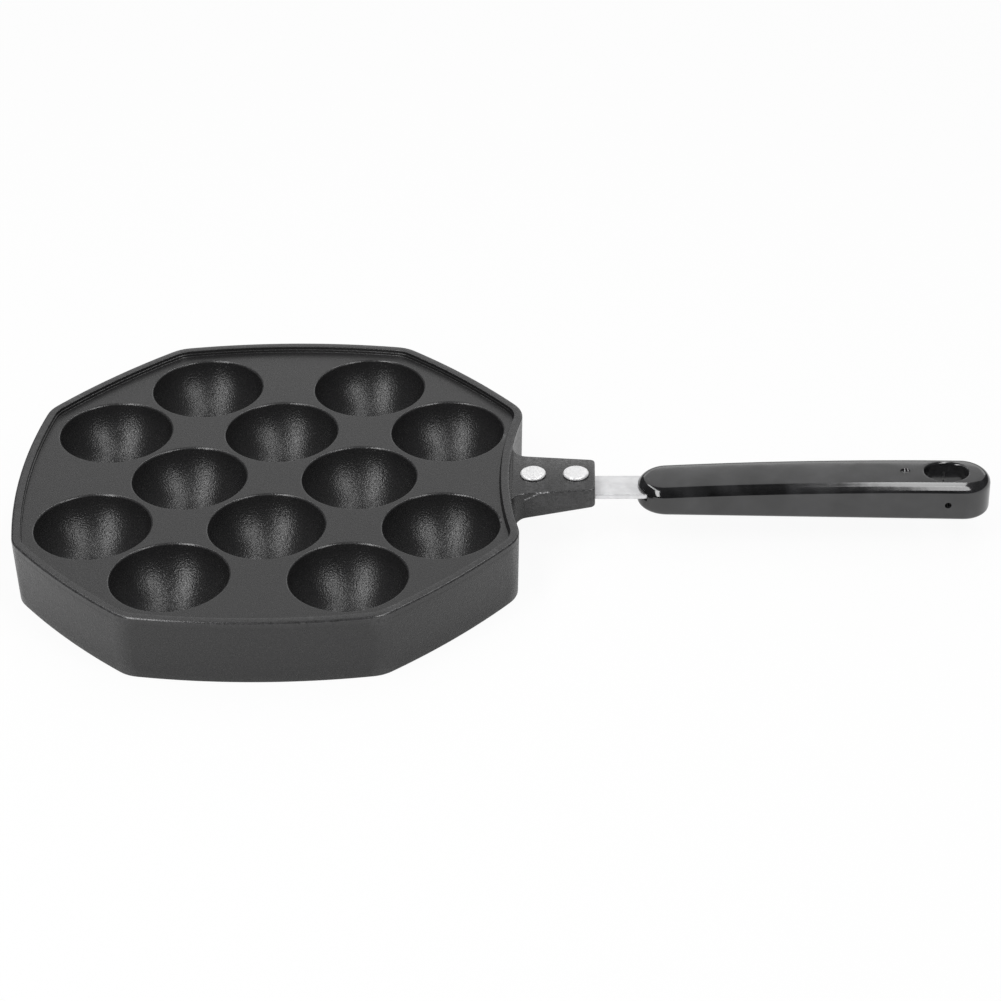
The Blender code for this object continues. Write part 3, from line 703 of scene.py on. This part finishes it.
def grip_top(x, y):
    """Height of the arched back over the middle of the tang.

    Along the grip it is a parabola with its crown towards the rear. Across, the face rises from its edge
    as a parabola of the distance to the middle line.
    """
    fall = (GRIP_TOP_CROWN - GRIP_TOP_FRONT) / GRIP_CROWN_X**2
    line = np.clip(x, GRIP_HALF_WIDTH, GRIP_LENGTH - GRIP_HALF_WIDTH)
    off = np.hypot(x - line, y) / GRIP_FACE
    crown = GRIP_FACE_RISE * np.maximum(1 - off**2, 0)
    return GRIP_TOP_CROWN - fall * (x - GRIP_CROWN_X) ** 2 + crown


def grip_bottom(x, y):
    """Height of the underside, straight along the grip and level across."""
    return -GRIP_BOTTOM_FRONT - (GRIP_BOTTOM_REAR - GRIP_BOTTOM_FRONT) * x / GRIP_LENGTH + 0 * y


def grip_side():
    """Middles and directions that give the long oval's half ring, from the front tip to the rear tip."""
    turn = quarter(GRIP_END_POINTS)
    first, last = GRIP_HALF_WIDTH, GRIP_LENGTH - GRIP_HALF_WIDTH
    straight = np.linspace(first, last, GRIP_POINTS)[1:-1]
    middle = np.concatenate([0 * turn + first, straight, 0 * turn + last])
    out_x = np.concatenate([-np.cos(turn), 0 * straight, np.sin(turn)])
    out_y = np.concatenate([np.sin(turn), 1 + 0 * straight, np.cos(turn)])
    return middle, out_x, out_y


def grip_patches():
    """The grip's faces.

    The band goes round the oval: at each step it is drawn in by an inset and set at a height over the
    bottom or under the top face. Both steps follow quarter circles. The two faces are strips between
    opposite points of the band's last rings.
    """
    middle, out_x, out_y = grip_side()

    def ring(inset, lift, face):
        radius = GRIP_HALF_WIDTH - inset
        x, y = middle + radius * out_x, radius * out_y
        half = np.stack([x, y, face(x, y) + lift], -1)
        return np.concatenate([half, half[::-1] * (1, -1, 1)])

    def rounded_edge(radius, side, face, turn):
        return [ring(radius * (1 - math.cos(a)), side * radius * (1 - math.sin(a)), face) for a in turn]

    rings = rounded_edge(GRIP_BOTTOM_EDGE, 1, grip_bottom, quarter(GRIP_BOTTOM_EDGE_POINTS)[::-1])
    first, last = rings[-1], ring(0, -GRIP_TOP_EDGE, grip_top)
    rings += [first + (last - first) * share for share in (0.25, 0.5, 0.75)]
    top_turn = np.linspace(0, math.pi / 2 - GRIP_SLOPE, GRIP_TOP_EDGE_POINTS)
    rings += rounded_edge(GRIP_TOP_EDGE, -1, grip_top, top_turn)
    band = np.stack(rings)
    across = np.linspace(1, -1, GRIP_FACE_POINTS)[None, :, None]
    patches = [band]
    for face, edge in ((grip_bottom, band[0]), (grip_top, band[-1])):
        half = edge[: len(middle), None]
        patch = np.repeat(half, GRIP_FACE_POINTS, 1)
        patch[..., 1:2] = half[..., 1:2] * across
        patch[..., 2] += face(patch[..., 0], patch[..., 1]) - face(patch[:, :1, 0], patch[:, :1, 1])
        patches.append(patch)
    for patch in patches:
        patch += (PAN_X + GRIP_X, 0, TANG_Z)
    return patches


def hang_hole_patch():
    """An oval tube that flares at both ends along a quarter circle, so that it leaves rounded lips."""
    sweep = np.linspace(0, HANG_FLARE, HANG_LIP_POINTS)
    flare = np.stack([HANG_LIP * (1 - np.cos(sweep)), HANG_LIP * (1 - np.sin(sweep))], -1)
    flare = np.concatenate([flare, flare[-1:] + HANG_PAST])
    angle = np.linspace(0, math.tau, HANG_POINTS)

    def ring(out, lift, face):
        x = HANG_X + (HANG_HALF_LENGTH + out) * np.cos(angle)
        y = (HANG_HALF_WIDTH + out) * np.sin(angle)
        return np.stack([x, y, face(x, y) + lift], -1)

    rings = [ring(out, drop, grip_bottom) for out, drop in flare[::-1]]
    rings += [ring(out, -drop, grip_top) for out, drop in flare]
    tube = np.stack(rings)
    ends = tube[[0, -1], :-1].mean(1)[:, None] + 0 * tube[[0, -1]]
    tube = np.concatenate([ends[:1], tube, ends[1:]])
    return tube + (PAN_X + GRIP_X, 0, TANG_Z)


def wire_hole_patch():
    """The cross hole, turned about an upright line and then laid along Y."""
    end = [(0, WIRE_REACH), (WIRE_END, WIRE_REACH)]
    neck = [(WIRE_END, WIRE_NECK_REACH), (WIRE_NECK, WIRE_NECK_REACH)]
    half = end + neck
    profile = np.array([(radius, -z) for radius, z in half] + half[::-1])
    upright = turned(profile, (0, 0), steps=32)
    return upright[..., (0, 2, 1)] + (PAN_X + GRIP_X + HANG_X, 0, WIRE_Z)


def dimple_patch():
    """A ball that dips into the grip's back."""
    sweep = np.linspace(0, math.pi, DIMPLE_POINTS)
    z = TANG_Z + grip_top(DIMPLE_X, 0) + DIMPLE_LIFT - DIMPLE_BALL * np.cos(sweep)
    ball = np.stack([DIMPLE_BALL * np.sin(sweep), z], -1)
    return turned(ball, (PAN_X + GRIP_X + DIMPLE_X, 0), steps=48)


def screw_well_patch():
    """A well for the screw's head, with a narrower hole for its shank above."""
    head, shank = SCREW_HEAD + CLEARANCE, SCREW_SHANK + CLEARANCE
    well = [(0, 0), (head, 0), (head, SCREW_SEAT_Z)]
    hole = [(shank, SCREW_SEAT_Z), (shank, SCREW_HOLE_TOP_Z), (0, SCREW_HOLE_TOP_Z)]
    return turned(np.array(well + hole), (PAN_X + GRIP_X + SCREW_X, 0), steps=48)


def make_grip(material):
    """The moulding, with the slot and the mouth for the tang and all of its holes."""
    grip = link("grip", closed_mesh("grip", grip_patches()))
    front, low, high = PAN_X + GRIP_X, TANG_Z - SLOT_HALF, TANG_Z + SLOT_HALF
    slot_end = PAN_X + TANG_X + TANG_LENGTH + CLEARANCE
    slot = box_patch((front - PAST, -SLOT_SIDE, low), (slot_end, SLOT_SIDE, high))
    mouth_end = (front + MOUTH_DEPTH, MOUTH_SIDE, high + MOUTH_RISE)
    mouth = box_patch((front - PAST, -MOUTH_SIDE, low), mouth_end)
    for form in (slot, mouth, hang_hole_patch(), wire_hole_patch(), dimple_patch(), screw_well_patch()):
        cut(grip, "DIFFERENCE", form)
    finish(grip, "handle_grip", material, sharp_above=25.0)


# Materials


def add_node(tree, kind, inputs=(), **settings):
    """Adds a node. An input is a number or colour, or another node's output that is linked to it."""
    made = tree.nodes.new(kind)
    for key, value in settings.items():
        setattr(made, key, value)
    for key, value in dict(inputs).items():
        if isinstance(value, bpy.types.NodeSocket):
            tree.links.new(value, made.inputs[key])
        else:
            made.inputs[key].default_value = value
    return made


def remap(tree, value, low, high, to_low=0.0, to_high=1.0):
    """Takes a value from one range to another, held inside the second."""
    inputs = {"Value": value, "From Min": low, "From Max": high, "To Min": to_low, "To Max": to_high}
    return add_node(tree, "ShaderNodeMapRange", inputs).outputs["Result"]


def combine(tree, operation, first, second=0.0):
    """The result of an operation on one or two values."""
    return add_node(tree, "ShaderNodeMath", {0: first, 1: second}, operation=operation).outputs[0]


def blend(tree, share, first, second):
    """A colour between two others."""
    mixed = add_node(tree, "ShaderNodeMix", {0: share, 6: first, 7: second}, data_type="RGBA")
    return mixed.outputs[2]


def noise(tree, place, scale, detail, distortion=0.0):
    """Cloudy noise with values round 0.5."""
    inputs = {"Vector": place, "Scale": scale, "Detail": detail, "Distortion": distortion}
    return add_node(tree, "ShaderNodeTexNoise", inputs).outputs["Fac"]


def bump(tree, height, strength, distance, over=()):
    """A normal that follows a height, over an earlier bump's normal where one is given."""
    inputs = {"Height": height, "Strength": strength, "Distance": distance, **dict(over)}
    return add_node(tree, "ShaderNodeBump", inputs).outputs["Normal"]


def grey(value):
    """A colour of equal parts."""
    return (value, value, value, 1.0)


def effect(name, inputs, outputs):
    """A node group: its tree, what it is given and its results.

    It is given a place and the named inputs, which are numbers or, where none is stated, vectors.
    """
    tree = bpy.data.node_groups.new(name, "ShaderNodeTree")
    for label, value in {"Place": None, **inputs}.items():
        kind = "NodeSocketVector" if value is None else "NodeSocketFloat"
        socket = tree.interface.new_socket(label, in_out="INPUT", socket_type=kind)
        if value is not None:
            socket.default_value = value
    for label in outputs:
        tree.interface.new_socket(label, in_out="OUTPUT", socket_type="NodeSocketFloat")
    return tree, tree.nodes.new("NodeGroupInput").outputs, tree.nodes.new("NodeGroupOutput").inputs


def place_effect(tree, group, place, settings=()):
    """Puts an effect into a material and returns its outputs."""
    inputs = {"Place": place, **dict(settings)}
    return add_node(tree, "ShaderNodeGroup", inputs, node_tree=group).outputs


def grain_effect():
    """Sprayed coating: soft orange peel, fine grit and scattered bright flecks."""
    scales = {"Peel Scale": 420.0, "Grit Scale": 1750.0}
    tree, given, result = effect("sprayed_grain", scales, ["Height", "Grit", "Flecks"])
    peel = noise(tree, given["Place"], given["Peel Scale"], 1.0)
    grit = noise(tree, given["Place"], given["Grit Scale"], 1.0)
    cells = add_node(tree, "ShaderNodeTexVoronoi", {"Vector": given["Place"], "Scale": given["Grit Scale"]})
    height = combine(tree, "ADD", grit, combine(tree, "MULTIPLY", peel, 0.3))
    tree.links.new(height, result["Height"])
    tree.links.new(remap(tree, grit, 0.35, 0.7), result["Grit"])
    tree.links.new(remap(tree, cells.outputs["Distance"], 0.28, 0.12), result["Flecks"])
    return tree


def sharp_edge_effect():
    """Marks along edges: where the surface is sharply convex, broken up by noise."""
    inputs = {"Scale": 900.0, "Sharpness": 0.506, "Breakup": 0.3}
    tree, given, result = effect("sharp_edge_marks", inputs, ["Wear"])
    point = add_node(tree, "ShaderNodeNewGeometry").outputs["Pointiness"]
    full = combine(tree, "ADD", given["Sharpness"], 0.015)
    edge = remap(tree, point, given["Sharpness"], full)
    kept = remap(tree, noise(tree, given["Place"], given["Scale"], 4.0), given["Breakup"], 0.6)
    tree.links.new(combine(tree, "MULTIPLY", edge, kept), result["Wear"])
    return tree


def handling_effect():
    """Slow unevenness from handling and wiping: soft cloudy patches."""
    tree, given, result = effect("handling", {"Scale": 40.0}, ["Patches"])
    clouds = noise(tree, given["Place"], given["Scale"], 3.0, 0.4)
    tree.links.new(remap(tree, clouds, 0.3, 0.7), result["Patches"])
    return tree


def scratch_effect():
    """A thin broken scratch from a start point along a turned line, inside a slab of some depth across it."""
    sizes = {"Length": 5.0 * MM, "Width": 0.3 * MM, "Depth": 1.0 * MM}
    tree, given, result = effect("scratch", {"Start": None, "Turn": None, **sizes}, ["Scratch"])
    inputs = {"Vector": given["Place"], "Location": given["Start"], "Rotation": given["Turn"]}
    turned_place = add_node(tree, "ShaderNodeMapping", inputs, vector_type="TEXTURE").outputs["Vector"]
    along = add_node(tree, "ShaderNodeSeparateXYZ", {0: turned_place}).outputs
    past = combine(tree, "SUBTRACT", along["X"], given["Length"])
    past = combine(tree, "MAXIMUM", past, combine(tree, "MULTIPLY", along["X"], -1.0))
    away = combine(tree, "MAXIMUM", combine(tree, "ABSOLUTE", along["Z"]), past)
    deep = combine(tree, "SUBTRACT", combine(tree, "ABSOLUTE", along["Y"]), given["Depth"])
    away = combine(tree, "MAXIMUM", away, deep)
    near = combine(tree, "SUBTRACT", 1.0, combine(tree, "DIVIDE", away, given["Width"]))
    kept = remap(tree, noise(tree, given["Place"], 2200.0, 3.0), 0.4, 0.6)
    tree.links.new(combine(tree, "MULTIPLY", remap(tree, near, 0.0, 0.6), kept), result["Scratch"])
    return tree


def lines_effect():
    """Fine straight lines along X, as rolling or brushing leaves."""
    tree, given, result = effect("fine_lines", {"Density": 1800.0}, ["Height"])
    drawn = add_node(tree, "ShaderNodeMapping", {"Vector": given["Place"], "Scale": (0.02, 1.0, 1.0)})
    tree.links.new(noise(tree, drawn.outputs["Vector"], given["Density"], 3.0), result["Height"])
    return tree


# Colours of the coating, then of the grip
COATING_DARK = (0.01, 0.01, 0.0105, 1)
COATING_LIGHT = (0.019, 0.0185, 0.019, 1)
COATING_FLECK = (0.09, 0.08, 0.08, 1)
# Lighter grey on the coating's arrises and cup lips: partly real wear, partly a painted highlight along them
COATING_WORN_AND_HIGHLIT = (0.09, 0.09, 0.092, 1)
COATING_SCRATCHED = (0.42, 0.42, 0.43, 1)
GRIP_CLEAN = (0.003, 0.003, 0.0032, 1)
GRIP_HANDLED = (0.032, 0.032, 0.034, 1)
GRIP_WORN = (0.12, 0.12, 0.12, 1)

# Scratches in the coating, on the near top edge of the lug and on its near side
LUG_SCRATCHES = (
    {
        "Start": (PAN_X + 98.8 * MM, -12.7 * MM, 24.62 * MM),
        "Turn": (0, 0, math.radians(6)),
        "Length": 4.6 * MM,
        "Width": 0.3 * MM,
        "Depth": 0.2 * MM,
    },
    {
        "Start": (PAN_X + 94.4 * MM, -13.2 * MM, 22.15 * MM),
        "Turn": (0, -math.radians(24), 0),
        "Length": 5.2 * MM,
        "Width": 0.28 * MM,
        "Depth": 1.2 * MM,
    },
)

# Metals: colour and roughness off and on the patches, and the depths of lines and grit
METALS = {
    "plated_steel": {
        "colours": ((0.74, 0.74, 0.75, 1), (0.88, 0.88, 0.89, 1)),
        "rough": (0.32, 0.4),
        "line_depth": 0.02 * MM,
        "grit_depth": 0.01 * MM,
        "metallic": 0.76,
        "patch_scale": 220.0,
    },
    "rivet_aluminium": {
        "colours": ((0.78, 0.78, 0.79, 1), (1.0, 1.0, 1.0, 1)),
        "rough": (0.34, 0.44),
        "line_depth": 0.004 * MM,
        "grit_depth": 0.4 * MM,
        "metallic": 0.42,
        "patch_scale": 1300.0,
    },
    "screw_steel": {
        "colours": ((0.42, 0.42, 0.44, 1), (0.58, 0.58, 0.6, 1)),
        "rough": (0.3, 0.42),
        "line_depth": 0.01 * MM,
        "grit_depth": 0.02 * MM,
        "metallic": 1.0,
        "patch_scale": 220.0,
    },
}


def start_material(name, constants):
    """A new material with constants on its shader: the material, its tree, its shader and each place."""
    material = bpy.data.materials.new(name)
    material.use_nodes = True
    tree = material.node_tree
    shader = tree.nodes["Principled BSDF"].inputs
    for label, value in constants.items():
        shader[label].default_value = value
    return material, tree, shader, add_node(tree, "ShaderNodeTexCoord").outputs["Object"]


def coating_material(effects):
    """Charcoal non-stick coating, sprayed: rough in the cups and on the walls, smoother on top, with lighter,
    smoother arrises and cup lips that are partly wear and partly a painted highlight.

    The flat deck has neither, because it has no arrises.
    """
    material, tree, shader, place = start_material("nonstick_coating", {"IOR": 1.57})
    grain = place_effect(tree, effects["grain"], place)
    patches = place_effect(tree, effects["handling"], place, {"Scale": 30.0})["Patches"]
    scratches = [place_effect(tree, effects["scratch"], place, one)["Scratch"] for one in LUG_SCRATCHES]
    height = add_node(tree, "ShaderNodeSeparateXYZ", {0: place}).outputs["Z"]
    off_deck = combine(tree, "ABSOLUTE", combine(tree, "SUBTRACT", height, DECK_Z))
    sharp_edges = place_effect(tree, effects["sharp_edges"], place)["Wear"]
    sharp_edges = combine(tree, "MULTIPLY", sharp_edges, remap(tree, off_deck, 0.02 * MM, 0.08 * MM))
    base = blend(tree, grain["Grit"], COATING_DARK, COATING_LIGHT)
    base = blend(tree, combine(tree, "MULTIPLY", grain["Flecks"], 0.3), base, COATING_FLECK)
    # Arrises and cup lips made lighter: partly wear, partly a painted highlight
    base = blend(tree, combine(tree, "MULTIPLY", sharp_edges, 0.5), base, COATING_WORN_AND_HIGHLIT)
    base = blend(tree, combine(tree, "MAXIMUM", *scratches), base, COATING_SCRATCHED)
    tree.links.new(base, shader["Base Color"])
    cloudy = remap(tree, patches, 0, 1, 0.28, 0.32)
    rough = combine(tree, "ADD", cloudy, remap(tree, grain["Grit"], 0, 1, 0.05, -0.05))
    rough = combine(tree, "SUBTRACT", rough, combine(tree, "MULTIPLY", sharp_edges, 0.17))
    tree.links.new(rough, shader["Roughness"])
    roughcast = remap(tree, height, DECK_Z - 0.8 * MM, DECK_Z - 0.1 * MM, 1.0, 0.3)
    raised = combine(tree, "MULTIPLY", grain["Height"], roughcast)
    tree.links.new(bump(tree, raised, 1.0, 0.155 * MM), shader["Normal"])
    return material


def grip_material(effects):
    """Glossy black phenolic, with faint mould ripple and handling marks."""
    constants = {"IOR": 1.69, "Coat Weight": 0.3, "Coat Roughness": 0.08}
    material, tree, shader, place = start_material("grip_plastic", constants)
    patches = place_effect(tree, effects["handling"], place, {"Scale": 70.0})["Patches"]
    grain = place_effect(tree, effects["grain"], place, {"Peel Scale": 130.0, "Grit Scale": 260.0})
    sharp_edges = place_effect(tree, effects["sharp_edges"], place, {"Sharpness": 0.53})["Wear"]
    film = combine(tree, "MULTIPLY", patches, remap(tree, grain["Grit"], 0, 1, 0.6, 1.0))
    base = blend(tree, film, GRIP_CLEAN, GRIP_HANDLED)
    base = blend(tree, combine(tree, "MULTIPLY", sharp_edges, 0.3), base, GRIP_WORN)
    tree.links.new(base, shader["Base Color"])
    tree.links.new(remap(tree, patches, 0, 1, 0.09, 0.15), shader["Roughness"])
    tree.links.new(bump(tree, grain["Height"], 0.4, 0.05 * MM), shader["Normal"])
    return material


def metal_material(name, effects, colours, rough, line_depth, grit_depth, metallic, patch_scale):
    """Bare metal: fine lines, a little grit and cloudy handling marks."""
    material, tree, shader, place = start_material(name, {"Metallic": metallic})
    lines = place_effect(tree, effects["lines"], place)["Height"]
    grain = place_effect(tree, effects["grain"], place, {"Peel Scale": 500.0, "Grit Scale": 1300.0})
    patches = place_effect(tree, effects["handling"], place, {"Scale": patch_scale})["Patches"]
    tree.links.new(blend(tree, patches, *colours), shader["Base Color"])
    cloudy = remap(tree, patches, 0, 1, *rough)
    lined = remap(tree, lines, 0.3, 0.7, -0.04, 0.04)
    tree.links.new(combine(tree, "ADD", cloudy, lined), shader["Roughness"])
    drawn = bump(tree, lines, 0.3, line_depth)
    tree.links.new(bump(tree, grain["Height"], 0.3, grit_depth, {"Normal": drawn}), shader["Normal"])
    return material


# Studio


# Lamps: name, place from the pan's middle, direction of the long side, width, length and level, where
# level 1 is as bright as white paper
LAMPS = (
    ("left_softbox", (-0.45, -0.575, 0.76), (0.12, 0.74, 0.63), 0.25, 1.3, 7.0),
    ("right_softbox", (0.452, -0.358, 0.86), (0.08, 0.136, 1), 0.25, 1.12, 4.9),
    ("top_left_softbox", (-0.46, 0.42, 1.2), (0.06, 0.94, -0.3), 0.17, 1.0, 5.2),
    ("top_right_softbox", (0.43, 0.28, 1.25), (0, 0.97, -0.2), 0.19, 1.3, 5.2),
    ("back_wall", (0.4, 1.8, 1.3), (0, -0.58, 0.82), 2.6, 1.3, 0.63),
    ("low_back_wall", (0.4, 2.3, 0.75), (0, 0, 1), 2.6, 0.75, 0.75),
)

# Camera, fitted to the photo: focal length and picture width in pixels, its place from the middle of the
# deck, and how it is turned
FOCAL_PIXELS = 2886.7
PICTURE_PIXELS = 1001
SENSOR_WIDTH = 36.0
CAMERA_PLACE = (0.11485, -0.91332, 0.58034)
CAMERA_YAW = math.radians(1.88)
CAMERA_ELEVATION = math.radians(32.894)
CAMERA_ROLL = math.radians(-1.234)

# Floor and world: half the floor's size, its grey, its glow for the camera and in reflections, and the
# world's fill light
FLOOR_HALF = 6.0
FLOOR_GREY = 0.9
FLOOR_GLOW = 0.93
FLOOR_GLOW_REFLECTED = 0.25
WORLD_FILL = 0.05


def seen_directly(tree, rays):
    """1 for the camera's rays, also through glass, and 0 for all others."""
    return combine(tree, "MAXIMUM", rays["Is Camera Ray"], rays["Is Transmission Ray"])


def add_floor():
    """A large pale floor that the camera sees almost white."""
    corners = [(FLOOR_HALF * x, FLOOR_HALF * y, 0) for x, y in ((-1, -1), (1, -1), (1, 1), (-1, 1))]
    mesh = bpy.data.meshes.new("floor")
    mesh.from_pydata(corners, [], [(0, 1, 2, 3)])
    floor = link("floor", mesh)
    material = bpy.data.materials.new("pale_floor")
    material.use_nodes = True
    tree = material.node_tree
    tree.nodes.clear()
    matt = add_node(tree, "ShaderNodeBsdfDiffuse", {"Color": grey(FLOOR_GREY)}).outputs[0]
    glow = add_node(tree, "ShaderNodeEmission", {"Color": grey(1.0), "Strength": 1.0}).outputs[0]
    rays = add_node(tree, "ShaderNodeLightPath").outputs
    direct = combine(tree, "MULTIPLY", seen_directly(tree, rays), FLOOR_GLOW)
    reflected = combine(tree, "MULTIPLY", rays["Is Glossy Ray"], FLOOR_GLOW_REFLECTED)
    share = combine(tree, "MAXIMUM", direct, reflected)
    mixed = add_node(tree, "ShaderNodeMixShader", {0: share, 1: matt, 2: glow}).outputs[0]
    add_node(tree, "ShaderNodeOutputMaterial", {"Surface": mixed})
    mesh.materials.append(material)


def add_world():
    """White for the camera and faint fill light for all else."""
    world = bpy.data.worlds.new("studio")
    bpy.context.scene.world = world
    world.use_nodes = True
    tree = world.node_tree
    tree.nodes.clear()
    rays = add_node(tree, "ShaderNodeLightPath").outputs
    strength = remap(tree, seen_directly(tree, rays), 0, 1, WORLD_FILL, 1.0)
    glow = add_node(tree, "ShaderNodeBackground", {"Color": grey(1.0), "Strength": strength}).outputs[0]
    add_node(tree, "ShaderNodeOutputWorld", {"Surface": glow})


def put(placed, position, right, up, back):
    """Moves a camera or a lamp to a position, with its three axes along the given vectors."""
    turn = Matrix(np.stack([right, up, back], -1).tolist()).to_4x4()
    placed.matrix_world = Matrix.Translation(position) @ turn


def add_lamp(name, position, along, width, length, level):
    """A flat softbox with its long side laid along a vector, turned about it to face the plate."""
    data = bpy.data.lights.new(name, "AREA")
    data.shape = "RECTANGLE"
    data.size, data.size_y = width, length
    data.energy = level * math.pi * width * length
    back = unit(np.cross(np.cross(along, position), along))
    right = unit(np.cross(along, back))
    put(link(name, data), np.array(position) + (PAN_X, 0, 0), right, np.cross(back, right), back)


def add_camera():
    """The camera that took the photo."""
    data = bpy.data.cameras.new("camera")
    data.sensor_fit = "HORIZONTAL"
    data.sensor_width = SENSOR_WIDTH
    data.lens = SENSOR_WIDTH * FOCAL_PIXELS / PICTURE_PIXELS
    data.clip_start, data.clip_end = 0.05, 30.0
    across, ahead, level = math.sin(CAMERA_YAW), math.cos(CAMERA_YAW), math.cos(CAMERA_ELEVATION)
    back = np.array([across * level, -ahead * level, math.sin(CAMERA_ELEVATION)])
    right = np.array([ahead, across, 0])
    up = np.cross(back, right)
    rolled_right = math.cos(CAMERA_ROLL) * right + math.sin(CAMERA_ROLL) * up
    rolled_up = -math.sin(CAMERA_ROLL) * right + math.cos(CAMERA_ROLL) * up
    camera = link("camera", data)
    put(camera, np.array(CAMERA_PLACE) + (PAN_X, 0, DECK_Z), rolled_right, rolled_up, back)
    bpy.context.scene.camera = camera


def main():
    """Makes the six pieces and the studio round them."""
    effects = {
        "grain": grain_effect(),
        "sharp_edges": sharp_edge_effect(),
        "handling": handling_effect(),
        "scratch": scratch_effect(),
        "lines": lines_effect(),
    }
    metals = {name: metal_material(name, effects, **looks) for name, looks in METALS.items()}
    make_casting(coating_material(effects))
    make_tang(metals["plated_steel"])
    make_rivet("rivet_front", RIVET_X[0], metals["rivet_aluminium"])
    make_rivet("rivet_rear", RIVET_X[1], metals["rivet_aluminium"])
    make_grip(grip_material(effects))
    make_screw(metals["screw_steel"])
    add_floor()
    add_world()
    for lamp in LAMPS:
        add_lamp(*lamp)
    add_camera()
    bpy.context.scene.view_settings.view_transform = "Standard"


main()
